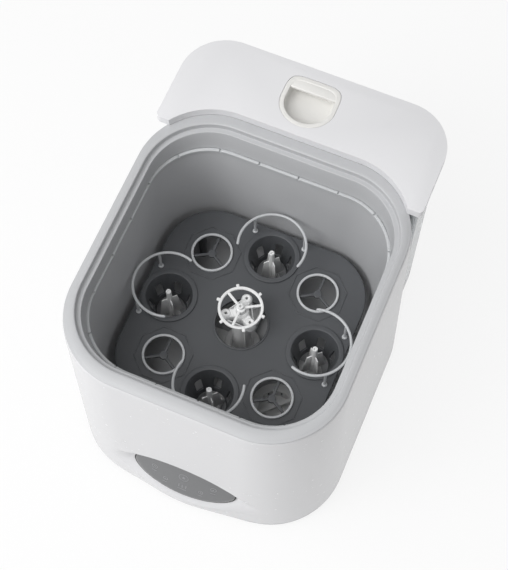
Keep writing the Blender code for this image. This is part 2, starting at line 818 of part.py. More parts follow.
def make_tub():
    wall = TUB_WALL
    mouth_x, mouth_y, mouth_r = TUB_MOUTH
    mouth_z = TUB_MOUTH_Z
    flange = mouth_x + TUB_FLANGE_X, mouth_y + TUB_FLANGE_Y, mouth_r + TUB_FLANGE_X
    inner = [TUB_FLOOR, TUB_LOW, TUB_MIDDLE, (*TUB_MOUTH, mouth_z)]
    outer = [(x + wall, y + wall, r + wall, z) for x, y, r, z in reversed(inner)]
    outer[0] = (*outer[0][:3], mouth_z - wall)
    outer[-2] = (*outer[-2][:3], TUB_LOW[3] - wall / 2)
    outer[-1] = (*outer[-1][:3], TUB_FLOOR[3] - wall)
    sections = inner + [(*flange, mouth_z), (*flange, mouth_z - wall)] + outer
    tub = pan("wash_tub", sections, TUB_GREY)
    floor = TUB_FLOOR[3]
    holes = (("sump", SUMP_R - SUMP_WALL, (SUMP_X, SUMP_Y)), ("pump", PUMP_BORE_R, (0, 0)))
    for name, radius, place in holes:
        cut(tub, turned(f"tub_{name}_hole", [(radius, floor - wall - OVER), (radius, floor + OVER)], place))
    reach = DUCT_T / 2 - DUCT_WALL
    for side in (-1, 1):
        y = FAN_Y + side * DUCT_W / 4
        low = -DUCT_X - reach, y - DUCT_W / 6, mouth_z - wall - OVER
        high = -DUCT_X + reach, y + DUCT_W / 6, mouth_z + OVER
        cut(tub, box(f"tub_air_hole_{side}", low, high))


# Centre column

def manifold_outline(inset):
    """Four arms with round sockets, standing out of a round hub."""
    half, hub, socket = ARM_W / 2 - inset, HUB_R - inset, SOCKET_R - inset
    hub_turn, socket_turn = degrees(asin(half / hub)), degrees(asin(half / socket))
    points = []
    for quarter in (0, 90, 180, 270):
        middle = polar(JET_REACH, quarter)
        open_turn = 180 - socket_turn
        points += [polar(socket, quarter - open_turn + 2 * open_turn * k / ARC_STEPS, middle)
                   for k in range(ARC_STEPS + 1)]
        span = 90 - 2 * hub_turn
        points += [polar(hub, quarter + hub_turn + span * k / ARC_STEPS) for k in range(ARC_STEPS + 1)]
    return points


def make_manifold():
    low = TUB_FLOOR[3] + GAP
    high = low + MANIFOLD_H
    roof = high - MANIFOLD_WALL
    outer, inner = manifold_outline(0), manifold_outline(MANIFOLD_WALL)
    rings = [ring_at(inner, roof), ring_at(inner, low), ring_at(outer, low), ring_at(outer, high)]
    manifold = add_mesh("water_manifold", loft(rings), PART_WHITE)
    for i, (place, radius) in enumerate([((0, 0), TOWER_BORE_R)] + [(p, JET_BORE_R) for p in PLACES]):
        cut(manifold, turned(f"manifold_hole_{i}", [(radius, roof - OVER), (radius, high + OVER)], place,
                             steps=SMALL_ROUND))
    base = high + GAP
    turned_ring("spray_tower", [(TOWER_BORE_R, base), (TOWER_BASE_R, base), (TOWER_TOP_R, TOWER_TOP_Z),
                                (AXLE_R, TOWER_TOP_Z), (AXLE_R, AXLE_TOP_Z), (TOWER_BORE_R, AXLE_TOP_Z)],
                finish=PART_WHITE)
    for i, place in enumerate(PLACES):
        make_jet(f"bottle_jet_{i + 1}", place, base)


def make_jet(name, place, base):
    jet = turned(name, [(JET_FOOT_R, base), (JET_FOOT_R, base + MANIFOLD_WALL), (JET_TIP_R, JET_TOP_Z)],
                 place, PART_WHITE, SMALL_ROUND)
    for turn in (45, 135):
        weld(jet, turned_box(f"{name}_fin_{turn}", 2 * JET_FIN_R, JET_FIN_T, JET_FIN_LOW, JET_FIN_HIGH,
                             place, turn))
    cut(jet, turned(f"{name}_bore", [(JET_BORE_R, base - OVER), (JET_BORE_R, JET_TOP_Z + OVER)], place,
                    steps=SMALL_ROUND))


def rotor_radius(turn):
    """Reach of the rotor's edge in one direction: its hub, or a lobe where one points there."""
    step = 360 / ROTOR_LOBES
    off = radians((turn - ROTOR_START + step / 2) % step - step / 2)
    across = ROTOR_LOBE_AT * abs(sin(off))
    if abs(off) > pi / 2 or across > ROTOR_LOBE_R:
        return ROTOR_HUB_R
    return ROTOR_LOBE_AT * cos(off) + sqrt(ROTOR_LOBE_R ** 2 - across ** 2)


def make_rotor():
    low = TOWER_TOP_Z + RUN
    high = low + ROTOR_H
    turns = [360 * k / FINE_ROUND for k in range(FINE_ROUND)]
    rotor = prism("spray_rotor", [polar(rotor_radius(t), t) for t in turns], low, high, PART_WHITE)
    bore = turned("rotor_bore", [(AXLE_R + RUN, low - OVER), (AXLE_R + RUN, high + OVER)])
    cut(rotor, bore)
    for k in range(ROTOR_LOBES):
        place = polar(ROTOR_LOBE_AT, ROTOR_START + 360 * k / ROTOR_LOBES)
        cut(rotor, turned(f"rotor_jet_{k}", [(ROTOR_JET_R, low - OVER), (ROTOR_JET_R, high + OVER)], place,
                          steps=SMALL_ROUND))
    hang_on("rotor_spin", at(0, 0, low), rotor)
    return high


def make_crown(rotor_top):
    outer, inner = CROWN_R + CROWN_T / 2, CROWN_R - CROWN_T / 2
    low, high = CROWN_Z - CROWN_T / 2, CROWN_Z + CROWN_T / 2
    tip = outer + NUB_L
    half_low, half_tip = degrees(asin(NUB_W / 2 / outer)), degrees(asin(NUB_W / 2 / tip))
    span = 360 / CROWN_NUBS - 2 * half_low
    outline = []
    for k in range(CROWN_NUBS):
        turn = 360 * k / CROWN_NUBS
        outline += [polar(outer, turn - half_low), polar(tip, turn - half_tip), polar(tip, turn + half_tip)]
        outline += [polar(outer, turn + half_low + span * j / ARC_STEPS) for j in range(ARC_STEPS)]
    crown = prism("spray_crown", outline, low, high, PART_WHITE)
    for k in range(CROWN_SPOKES):
        start = CROWN_START + 360 * k / CROWN_SPOKES
        rim_half = degrees(asin(CROWN_SPOKE_W / 2 / inner))
        hub_half = degrees(asin(CROWN_SPOKE_W / 2 / CROWN_HUB_R))
        far = [polar(inner, start + rim_half + (360 / CROWN_SPOKES - 2 * rim_half) * i / SMALL_ROUND)
               for i in range(SMALL_ROUND + 1)]
        near = [polar(CROWN_HUB_R, start + hub_half + (360 / CROWN_SPOKES - 2 * hub_half) * i / 2)
                for i in range(3)]
        cut(crown, prism(f"crown_window_{k}", far + near[::-1], low - OVER, high + OVER))
    weld(crown, turned("crown_hub", [(CROWN_HUB_R + GAP, rotor_top + RUN), (CROWN_HUB_R + GAP, high + GAP)],
                       steps=SMALL_ROUND))
    cut(crown, turned("crown_bore", [(AXLE_R + GAP, rotor_top - OVER), (AXLE_R + GAP, high + OVER)],
                      steps=ROUND))


# Bottle rack

def make_rack():
    low = DECK_Z - DECK_SKIRT
    inner = DECK_X - DECK_SKIRT_T, DECK_Y - DECK_SKIRT_T, DECK_R - DECK_SKIRT_T
    outer = DECK_X, DECK_Y, DECK_R
    rack = pan("bottle_rack", [(*inner, DECK_Z - DECK_T), (*inner, low), (*outer, low), (*outer, DECK_Z)],
               RACK_GREY)
    for i, (x, y) in enumerate((sx * LEG_X, sy * LEG_Y) for sx in (-1, 1) for sy in (-1, 1)):
        leg = [(LEG_R, TUB_FLOOR[3] + GAP), (LEG_R, DECK_Z - DECK_T / 2)]
        weld(rack, turned(f"rack_leg_{i}", leg, (x, y), steps=SMALL_ROUND))
    holes = [((0, 0), DECK_CENTRE_R)] + [(place, DECK_BOTTLE_R) for place in PLACES]
    for i, (place, radius) in enumerate(holes):
        cut(rack, turned(f"deck_hole_{i}", [(radius, low - OVER), (radius, DECK_Z + OVER)], place))
    for i, place in enumerate(CORNERS):
        for k in range(CORNER_BARS):
            start = CORNER_TURN + 360 * k / CORNER_BARS
            far_half = degrees(asin(CORNER_BAR_W / 2 / CORNER_HOLE_R))
            near_half = degrees(asin(CORNER_BAR_W / 2 / CORNER_HUB_R))
            span = 360 / CORNER_BARS
            window = [polar(CORNER_HOLE_R, start + far_half + (span - 2 * far_half) * j / ARC_STEPS, place)
                      for j in range(ARC_STEPS + 1)]
            window += [polar(CORNER_HUB_R, start + span - near_half, place),
                       polar(CORNER_HUB_R, start + near_half, place)]
            cut(rack, prism(f"corner_window_{i}_{k}", window, DECK_Z - DECK_T - OVER, DECK_Z + OVER))
    return rack


def make_cup(name, place):
    top = DECK_Z + GAP
    high = top + CUP_FLANGE_T
    outer = DECK_BOTTLE_R - GAP
    low_slope = (outer - CUP_LOW_R) / (top - CUP_LOW_Z)
    cup = turned_ring(name, [(CUP_LOW_R - CUP_WALL, CUP_LOW_Z), (CUP_LOW_R, CUP_LOW_Z),
                             (outer - low_slope * DECK_SKIRT, top - DECK_SKIRT), (outer, top),
                             (outer + CUP_FLANGE, top), (outer + CUP_FLANGE, high),
                             (outer - CUP_WALL, high)], place, RACK_GREY)
    for k in range(CUP_SLOT_PAIRS):
        cut(cup, turned_box(f"{name}_slot_{k}", 2 * DECK_BOTTLE_R + OVER, CUP_SLOT_W,
                            CUP_LOW_Z + CUP_SLOT_MARGIN, DECK_Z - CUP_SLOT_MARGIN - DECK_SKIRT / 2, place,
                            180 * k / CUP_SLOT_PAIRS + 30))
    return cup


def make_hoop(name, place, outward):
    """A wire hoop that opens towards the tower and stands on two stems."""
    points = arc_points(HOOP_R, place, HOOP_Z, outward - HOOP_SWEEP, 2 * HOOP_SWEEP, HOOP_STEPS)
    hoop = tube(name, points, HOOP_WIRE_R, finish=HOOP_GREY, steps=WIRE_ROUND)
    for side in (-1, 1):
        x, y = polar(HOOP_R, outward + side * HOOP_STEM, place)
        weld(hoop, tube(f"{name}_stem_{side}", [(x, y, DECK_Z + GAP), (x, y, HOOP_Z)], HOOP_WIRE_R,
                        steps=WIRE_ROUND))
    return hoop


def make_corner_ring(name, place):
    low, high = DECK_Z + GAP, DECK_Z + GAP + RING_T
    return turned_ring(name, [(RING_R - RING_W, low), (RING_R, low), (RING_R, high), (RING_R - RING_W, high)],
                       place, HOOP_GREY)


def make_bottle_places():
    pieces = [make_rack()]
    for i, place in enumerate(PLACES):
        pieces.append(make_cup(f"bottle_cup_{i + 1}", place))
        pieces.append(make_hoop(f"bottle_hoop_{i + 1}", place, 90 * i))
    pieces += [make_corner_ring(f"corner_ring_{i + 1}", place) for i, place in enumerate(CORNERS)]
    hang_on("rack_lift", at(0, 0, DECK_Z), *pieces)


# Water tank

def tank_outline(half_x, rear, rear_r, hug, tip, inset=0.0):
    """The tank's plan: round rear corners, and a front that follows the body's round corners."""
    hug_x, hug_y, hug_r = hug
    middle = hug_x - hug_r, hug_y - hug_r
    half_x, rear, rear_r, hug_r = half_x - inset, rear - inset, rear_r - inset, hug_r + inset
    start = degrees(acos((half_x - tip - middle[0]) / hug_r))
    nose = min(tip / 2, tip - OVER / 2)
    right = [polar(hug_r, 90 + (start - 90) * k / TANK_STEPS, middle) for k in range(TANK_STEPS + 1)]
    tip_y = right[-1][1]
    right += [polar(nose, -90 + 90 * k / NOSE_STEPS, (half_x - nose, tip_y + nose))
              for k in range(NOSE_STEPS + 1)]
    right += [polar(rear_r, 90 * k / TANK_STEPS, (half_x - rear_r, rear - rear_r))
              for k in range(TANK_STEPS + 1)]
    return right + [(-x, y) for x, y in reversed(right)]


COVER_HUG = (RIM_X + TANK_HUG, RIM_Y + TANK_HUG, RIM_R + TANK_HUG)
BODY_HUG = (RIM_X + SHELL_LIP + SHELL_FLARE_X + TANK_CLEAR, RIM_Y + SHELL_LIP + SHELL_FLARE_Y + TANK_CLEAR,
            SHELL_BASE_R + TANK_CLEAR)


def cover_outline(inset=0.0):
    return tank_outline(TANK_COVER_X, TANK_REAR_Y, TANK_COVER_R, COVER_HUG, TANK_COVER_TIP, inset)


def body_outline(inset=0.0):
    return tank_outline(TANK_COVER_X - TANK_INSET_X, TANK_REAR_Y - TANK_INSET_Y, TANK_BODY_R, BODY_HUG,
                        TANK_TIP, inset)


def grip_outline(inset):
    """Half an oval at the front and two small round corners at the rear."""
    half, front = GRIP_HALF_X - inset, GRIP_FRONT - GRIP_FRONT_SHARE * inset
    corner = max(GRIP_CORNER - inset, GRIP_CORNER / 2)
    points = []
    for k in range(2 * ARC_STEPS + 1):
        turn = pi + pi * k / (2 * ARC_STEPS)
        points.append((GRIP_X + half * cos(turn), GRIP_Y + front * sin(turn)))
    for side, start in ((1, 0), (-1, 90)):
        middle = GRIP_X + side * (half - corner), GRIP_Y + GRIP_REAR - inset - corner
        points += [polar(corner, start + 90 * k / ARC_STEPS, middle) for k in range(ARC_STEPS + 1)]
    return points


def make_tank():
    cover_top = TANK_COVER_Z + TANK_COVER_H
    plate = cover_top - TANK_COVER_T
    low, high = SHELF_TOP_Z + GAP, plate - GAP
    valve_place = VALVE_X, VALVE_Y
    tank = add_mesh("tank_body", loft([ring_at(body_outline(TANK_WALL), low + TANK_WALL),
                                       ring_at(body_outline(TANK_WALL), high),
                                       ring_at(body_outline(), high), ring_at(body_outline(), low)]),
                    CLEAR_PALE)
    cut(tank, turned("tank_valve_hole", [(VALVE_R + PLAY, low - OVER), (VALVE_R + PLAY, low + 2 * TANK_WALL)],
                     valve_place, steps=SMALL_ROUND))
    head = low + TANK_WALL + GAP + VALVE_OPEN
    valve = turned("tank_valve", [(VALVE_R, VALVE_LOW_Z), (VALVE_R, head), (VALVE_HEAD_R, head),
                                  (VALVE_HEAD_R, head + VALVE_HEAD_T)], valve_place, PART_WHITE, SMALL_ROUND)
    rib = TANK_WALL + GAP
    sections = [(body_outline, rib + TANK_RIB_W, plate), (body_outline, rib + TANK_RIB_W, plate - TANK_RIB_H),
                (body_outline, rib, plate - TANK_RIB_H), (body_outline, rib, plate),
                (cover_outline, TANK_COVER_T, plate), (cover_outline, TANK_COVER_T, TANK_COVER_Z),
                (cover_outline, 0, TANK_COVER_Z), (cover_outline, 0, cover_top - TANK_COVER_EDGE),
                (cover_outline, TANK_COVER_EDGE, cover_top)]
    cover = add_mesh("tank_cover", loft([ring_at(outline(inset), z) for outline, inset, z in sections]),
                     CLEAR_PALE)
    seat = cover_top - GRIP_FLANGE_T - GAP
    cut(cover, prism("grip_seat", grip_outline(-GAP), seat, cover_top + OVER),
        prism("grip_hole", grip_outline(GRIP_FLANGE - GAP), plate - TANK_RIB_H - OVER, cover_top + OVER))
    floor = cover_top - GRIP_DEPTH
    well = GRIP_FLANGE + GRIP_WALL
    rings = [(well, floor + GRIP_WALL), (well, cover_top), (0, cover_top), (0, cover_top - GRIP_FLANGE_T),
             (GRIP_FLANGE, cover_top - GRIP_FLANGE_T), (GRIP_FLANGE, floor)]
    grip = add_mesh("tank_handle", loft([ring_at(grip_outline(inset), z) for inset, z in rings]), WARM_WHITE)
    inside = GRIP_HALF_X - well + GRIP_WALL / 2
    bar_front = GRIP_Y + GRIP_REAR - well - BAR_W
    corners = grip_outline(well - GRIP_WALL / 2)[2 * ARC_STEPS + 1:]
    bar = [(GRIP_X + inside, bar_front), *corners, (GRIP_X - inside, bar_front)]
    weld(grip, prism("grip_bar", bar, cover_top - BAR_DROP - BAR_T, cover_top - BAR_DROP))
    hang_on("tank_lift", at(0, (BODY_HUG[1] + TANK_REAR_Y) / 2, low), tank)
    hang_on("cover_lift", at(0, GRIP_Y, plate), cover, grip)
    hang_on("valve_lift", at(VALVE_X, VALVE_Y, head), valve)


def make_shelf():
    low = TRAY_TOP + GAP
    rings = [(SHELF_WALL, SHELF_TOP_Z - SHELF_WALL), (SHELF_WALL, low), (0, low), (0, SHELF_TOP_Z)]
    shelf = add_mesh("tank_shelf", loft([ring_at(body_outline(inset), z) for inset, z in rings]), WHITE_GLOSS)
    place = VALVE_X, VALVE_Y
    inner, end = DOCK_R - DOCK_WALL, VALVE_Y - DOCK_R - PORT_L
    dock = turned("dock_socket", [(inner, low + DOCK_WALL), (inner, DOCK_TOP_Z), (DOCK_R, DOCK_TOP_Z),
                                  (DOCK_R, low)], place)
    weld(dock, turned("dock_pin", [(DOCK_PIN_R, low + DOCK_WALL / 2), (DOCK_PIN_R, VALVE_LOW_Z - GAP)], place,
                      steps=SMALL_ROUND),
         tube("dock_nozzle", [(FILL_X, VALVE_Y - inner - DOCK_WALL / 2, FILL_Z), (FILL_X, end, FILL_Z)],
              HOSE_R))
    cut(dock, tube("dock_bore", [(FILL_X, VALVE_Y - inner + OVER, FILL_Z), (FILL_X, end - OVER, FILL_Z)],
                   HOSE_BORE_R))
    weld(shelf, dock)
    cut(shelf, turned("shelf_valve_hole", [(VALVE_HOLE_R, SHELF_TOP_Z - SHELF_WALL - OVER),
                                           (VALVE_HOLE_R, SHELF_TOP_Z + OVER)], place, steps=SMALL_ROUND))
    front, rear = BODY_HUG[1], TANK_REAR_Y - TANK_INSET_Y
    for name, x, y, z, radius in (("fill", FILL_X, front, FILL_Z, HOSE_R + RUN),
                                  ("drain", SPIGOT_X, front, SPIGOT_Z, HOSE_R + RUN),
                                  ("spigot", SPIGOT_X, rear - SHELF_WALL, SPIGOT_Z, HOSE_R + GAP)):
        cut(shelf, tube(f"shelf_{name}_hole", [(x, y - HOSE_R, z), (x, y + SHELF_WALL + OVER, z)], radius))
    spigot_end = rear + SPIGOT_OUT
    spigot_in = rear - SHELF_WALL - PORT_L
    spigot = tube("drain_spigot", [(SPIGOT_X, spigot_in, SPIGOT_Z), (SPIGOT_X, spigot_end, SPIGOT_Z)], HOSE_R,
                  finish=GREY_MOULDED)
    weld(spigot, tube("spigot_flange", [(SPIGOT_X, rear + GAP, SPIGOT_Z),
                                        (SPIGOT_X, rear + GAP + SPIGOT_FLANGE_T, SPIGOT_Z)], SPIGOT_FLANGE_R))
    cut(spigot, tube("spigot_bore", [(SPIGOT_X, spigot_in - OVER, SPIGOT_Z),
                                     (SPIGOT_X, spigot_end + OVER, SPIGOT_Z)], HOSE_BORE_R))


# Base compartment

def tray_outline(inset):
    """The shell's outline at the front and sides, and the tank's at the rear."""
    front = shell_outline(SHELL_BASE_Z, inset)
    behind = [i for i, p in enumerate(front) if p[1] > TRAY_JOIN_Y]
    skip = TANK_STEPS + 1 + NOSE_STEPS
    rear = body_outline(inset)[skip:-skip]
    return front[:behind[0]] + rear + front[behind[-1] + 1:]


def make_tray():
    tray = prism("base_tray", tray_outline(TRAY_INSET), TRAY_Z, TRAY_TOP, GREY_MOULDED)
    floor_low = TUB_FLOOR[3] - TUB_WALL
    posts = [(place, TUB_POST_R, floor_low - GAP) for place in TUB_POSTS]
    half_w, half_d = POWER_BOARD_W / 2 - STANDOFF_IN, POWER_BOARD_D / 2 - STANDOFF_IN
    for sx in (-1, 1):
        for sy in (-1, 1):
            posts.append(((POWER_BOARD_X + sx * half_w, POWER_BOARD_Y + sy * half_d), STANDOFF_R,
                          TRAY_TOP + STANDOFF_H))
    for i, (place, radius, top) in enumerate(posts):
        weld(tray, turned(f"tray_post_{i}", [(radius, TRAY_Z + TRAY_T / 2), (radius, top)], place,
                          steps=SMALL_ROUND))
    for i, place in enumerate(boss_places()):
        step = TRAY_Z + SCREW_HEAD_T + GAP
        head, shank = SCREW_HEAD_R + GAP, SCREW_R + GAP
        cut(tray, turned(f"tray_screw_hole_{i}", [(head, TRAY_Z - OVER), (head, step), (shank, step),
                                                  (shank, TRAY_TOP + OVER)], place, steps=SMALL_ROUND))
        neck, tip = TRAY_Z + SCREW_HEAD_T, TRAY_TOP + SCREW_L - OVER
        turned(f"base_screw_{i + 1}", [(SCREW_HEAD_R, TRAY_Z), (SCREW_HEAD_R, neck), (SCREW_R, neck),
                                       (SCREW_R, tip)], place, STEEL, SMALL_ROUND)
    feet = [(sx * FOOT_X, y) for y in (FOOT_FRONT_Y, FOOT_REAR_Y) for sx in (-1, 1)]
    for i, place in enumerate(feet):
        turned(f"foot_{i + 1}", [(FOOT_R - PLAY, 0), (FOOT_R, PLAY), (FOOT_R, TRAY_Z - GAP)], place,
               RUBBER_GREY, SMALL_ROUND)


def add_port(piece, centre, radius, wall, turn, z, length=PORT_L):
    """A hose port on the side of a round case."""
    ends = [(*polar(radius + reach, turn, centre), z) for reach in (-wall / 2, length)]
    bore = [(*polar(radius + reach, turn, centre), z) for reach in (-wall - PLAY, length + OVER)]
    name = f"{piece.name}_port_{round(turn)}"
    weld(piece, tube(name, ends, HOSE_R))
    cut(piece, tube(name + "_bore", bore, HOSE_BORE_R))


def make_impeller(name, place, floor, radius, height, blade_count, shaft_low):
    disc = floor + PLAY
    top = disc + height
    face, hub = disc + IMPELLER_DISC_T, IMPELLER_HUB_R
    wheel = turned(name, [(SHAFT_R, shaft_low), (SHAFT_R, disc), (radius, disc), (radius, face), (hub, face),
                          (hub, top)], place, PART_WHITE)
    vanes = moved(blades(blade_count, IMPELLER_HUB_R - PLAY, radius - PLAY, BLADE_W), place)
    weld(wheel, prism(name + "_vanes", vanes, disc + IMPELLER_DISC_T / 2, top - PLAY))
    hang_on(name + "_spin", at(*place, disc), wheel)


def make_motor(name, place, radius, top, finish):
    low = TRAY_TOP + GAP
    bore = SHAFT_R + RUN
    turned(name, [(bore, top - MOTOR_BORE_DEEP), (bore, top), (radius, top), (radius, low)], place, finish)


def make_pumps():
    centre, sump = (0, 0), (SUMP_X, SUMP_Y)
    floor_low = TUB_FLOOR[3] - TUB_WALL - GAP
    hole, wall = SHAFT_R + PLAY, PUMP_WALL
    case = turned_ring("wash_pump_case", [
        (hole, PUMP_LOW_Z), (PUMP_R, PUMP_LOW_Z), (PUMP_R, PUMP_HIGH_Z), (PUMP_NECK_R, PUMP_HIGH_Z),
        (PUMP_NECK_R, floor_low), (PUMP_BORE_R, floor_low), (PUMP_BORE_R, PUMP_HIGH_Z - wall),
        (PUMP_R - wall, PUMP_HIGH_Z - wall), (PUMP_R - wall, PUMP_LOW_Z + wall), (hole, PUMP_LOW_Z + wall),
    ], centre, GREY_MOULDED)
    suction = degrees(atan2(SUMP_Y, SUMP_X))
    to_sump = sqrt(SUMP_X ** 2 + SUMP_Y ** 2) - SUMP_R - PORT_L - GAP - PUMP_R
    add_port(case, centre, PUMP_R, wall, suction, PORT_Z, to_sump)
    add_port(case, centre, PUMP_R, wall, 90, PORT_Z)
    shaft_low = PUMP_LOW_Z - MOTOR_BORE_DEEP + OVER
    make_impeller("wash_impeller", centre, PUMP_LOW_Z + wall, IMPELLER_R, IMPELLER_H, BLADES, shaft_low)
    make_motor("wash_pump_motor", centre, MOTOR_R, PUMP_LOW_Z - GAP, STEEL)

    cup = turned_ring("sump_cup", [
        (SUMP_DRAIN_R, SUMP_LOW_Z), (SUMP_R, SUMP_LOW_Z), (SUMP_R, floor_low - SUMP_WALL),
        (SUMP_R + SUMP_FLANGE, floor_low - SUMP_WALL), (SUMP_R + SUMP_FLANGE, floor_low),
        (SUMP_R - SUMP_WALL, floor_low), (SUMP_R - SUMP_WALL, SUMP_LOW_Z + SUMP_WALL),
        (SUMP_DRAIN_R, SUMP_LOW_Z + SUMP_WALL),
    ], sump, GREY_MOULDED)
    add_port(cup, sump, SUMP_R, SUMP_WALL, suction + 180, PORT_Z)

    drain_top = SUMP_LOW_Z - GAP
    drain = turned_ring("drain_pump_case", [
        (hole, DRAIN_LOW_Z), (DRAIN_R, DRAIN_LOW_Z), (DRAIN_R, drain_top), (SUMP_DRAIN_R, drain_top),
        (SUMP_DRAIN_R, drain_top - wall), (DRAIN_R - wall, drain_top - wall),
        (DRAIN_R - wall, DRAIN_LOW_Z + wall), (hole, DRAIN_LOW_Z + wall),
    ], sump, GREY_MOULDED)
    drain_z = (DRAIN_LOW_Z + drain_top) / 2
    add_port(drain, sump, DRAIN_R, wall, 0, drain_z)
    shaft_low = DRAIN_LOW_Z - MOTOR_BORE_DEEP + OVER
    make_impeller("drain_impeller", sump, DRAIN_LOW_Z + wall, DRAIN_IMPELLER_R, DRAIN_IMPELLER_H,
                  DRAIN_BLADES, shaft_low)
    make_motor("drain_pump_motor", sump, DRAIN_MOTOR_R, DRAIN_LOW_Z - GAP, STEEL)

    lead = HOSE_LEAD
    x = SUMP_X + DRAIN_R + PORT_L + GAP
    y = TANK_REAR_Y - TANK_INSET_Y - SHELF_WALL - PORT_L - GAP
    route = smooth_route([(x + lead, SUMP_Y, drain_z), *DRAIN_ROUTE, (SPIGOT_X, y - lead, SPIGOT_Z)])
    route = [(x, SUMP_Y, drain_z), *route, (SPIGOT_X, y, SPIGOT_Z)]
    tube("drain_hose", route, HOSE_R, HOSE_BORE_R, HOSE_CLEAR, HOSE_ROUND)
    y, end_y = VALVE_Y - DOCK_R - PORT_L - GAP, PUMP_R + PORT_L + GAP
    route = smooth_route([(FILL_X, y - lead, FILL_Z), *FILL_ROUTE, (0, end_y + lead, PORT_Z)])
    route = [(FILL_X, y, FILL_Z), *route, (0, end_y, PORT_Z)]
    tube("fill_tube", route, HOSE_R, HOSE_BORE_R, HOSE_CLEAR, HOSE_ROUND)


def make_filter():
    low = TUB_FLOOR[3] + GAP
    top, bottom = low + FILTER_RIM_T, low - FILTER_DEEP
    inner = FILTER_R - FILTER_WALL
    place = SUMP_X, SUMP_Y
    wall = FILTER_WALL
    basket = turned("sump_filter", [(inner, bottom + wall), (inner, top), (FILTER_RIM_R, top),
                                    (FILTER_RIM_R, low), (FILTER_R, low), (FILTER_R, bottom)],
                    place, PART_WHITE)
    for k in range(FILTER_SLOT_PAIRS):
        cut(basket, turned_box(f"filter_slot_{k}", 2 * FILTER_R + OVER, FILTER_SLOT_W, bottom + 2 * wall,
                               low - wall, place, 180 * k / FILTER_SLOT_PAIRS))
    weld(basket, turned_box("filter_key", 2 * inner + wall, FILTER_KEY_W, low, low + FILTER_KEY_H, place, 45))
    hang_on("filter_twist", at(*place, low), basket)


def make_heater():
    high = TUB_FLOOR[3] - TUB_WALL - GAP
    inner, outer = HEATER_R - HEATER_W / 2, HEATER_R + HEATER_W / 2
    prism("steam_heater", sector(inner, outer, HEATER_START, HEATER_START + HEATER_SWEEP, steps=ROUND),
          high - HEATER_T, high, STEEL)


def make_fan():
    place = FAN_X, FAN_Y
    low = TRAY_TOP + GAP
    high = low + FAN_H
    inner, wall = FAN_R - FAN_WALL, FAN_WALL
    case = turned("fan_case", [(inner, low + wall), (inner, high - wall), (FAN_EYE_R, high - wall),
                               (FAN_EYE_R, high), (FAN_R, high), (FAN_R, low)], place, BLACK_MOULDED)
    duct_side = -DUCT_X + DUCT_T / 2
    middle = (low + high) / 2
    half_w, half_h = FAN_OUTLET_W / 2, FAN_OUTLET_H / 2
    weld(case, box("fan_outlet", (duct_side + GAP, FAN_Y - half_w, middle - half_h),
                   (FAN_X - inner, FAN_Y + half_w, middle + half_h)))
    cut(case, box("fan_outlet_bore", (duct_side - OVER, FAN_Y - half_w + wall, middle - half_h + wall),
                  (FAN_X - FAN_WHEEL_R, FAN_Y + half_w - wall, middle + half_h - wall)))
    weld(case, turned("fan_pin", [(FAN_PIN_R, low + wall / 2), (FAN_PIN_R, high - wall)], place,
                      steps=SMALL_ROUND))
    wheel_low = low + wall + PLAY
    outline = moved(blades(FAN_BLADES, FAN_HUB_R, FAN_WHEEL_R, FAN_BLADE_W), place)
    wheel = prism("fan_wheel", outline, wheel_low, wheel_low + FAN_WHEEL_H, GREY_MOULDED)
    cut(wheel, turned("fan_wheel_bore", [(FAN_PIN_R + RUN, wheel_low - OVER),
                                         (FAN_PIN_R + RUN, wheel_low + FAN_WHEEL_H + OVER)], place,
                      steps=SMALL_ROUND))
    hang_on("fan_spin", at(*place, wheel_low), wheel)

    duct_top = TUB_MOUTH_Z - TUB_WALL - GAP
    rings = []
    for inset, z in ((DUCT_WALL, low + DUCT_WALL), (DUCT_WALL, duct_top), (0, duct_top), (0, low)):
        half_x, half_y = DUCT_T / 2 - inset, DUCT_W / 2 - inset
        rings.append(ring_at([(-DUCT_X + sx * half_x, FAN_Y + sy * half_y)
                              for sx, sy in ((-1, -1), (1, -1), (1, 1), (-1, 1))], z))
    duct = add_mesh("air_duct", loft(rings), GREY_MOULDED)
    cut(duct, box("duct_inlet", (duct_side - 2 * DUCT_WALL, FAN_Y - half_w + wall, middle - half_h + wall),
                  (duct_side + OVER, FAN_Y + half_w - wall, middle + half_h - wall)))


def make_air_door():
    door = wall_block("air_door", AIR_DOOR_Y, AIR_DOOR_Z, AIR_DOOR_W, AIR_DOOR_H, 0, SHELL_WALL, WHITE_GLOSS)
    margin = AIR_DOOR_H / (AIR_SLOTS + 1)
    for k in range(AIR_SLOTS):
        z = AIR_DOOR_Z - AIR_DOOR_H / 2 + margin * (k + 1)
        cut(door, wall_block(f"air_slot_{k}", AIR_DOOR_Y, z, AIR_DOOR_W - 2 * margin, AIR_SLOT_H, OVER,
                             SHELL_WALL + OVER))
    behind = SHELL_WALL + GAP
    pad = wall_block("air_filter", AIR_DOOR_Y, AIR_DOOR_Z, AIR_DOOR_W - margin, AIR_DOOR_H - margin, -behind,
                     behind + AIR_FILTER_T, FIBRE_PALE)
    hang_on("air_door_slide", at(-shell_size(AIR_DOOR_Z)[0], AIR_DOOR_Y, AIR_DOOR_Z), door, pad)


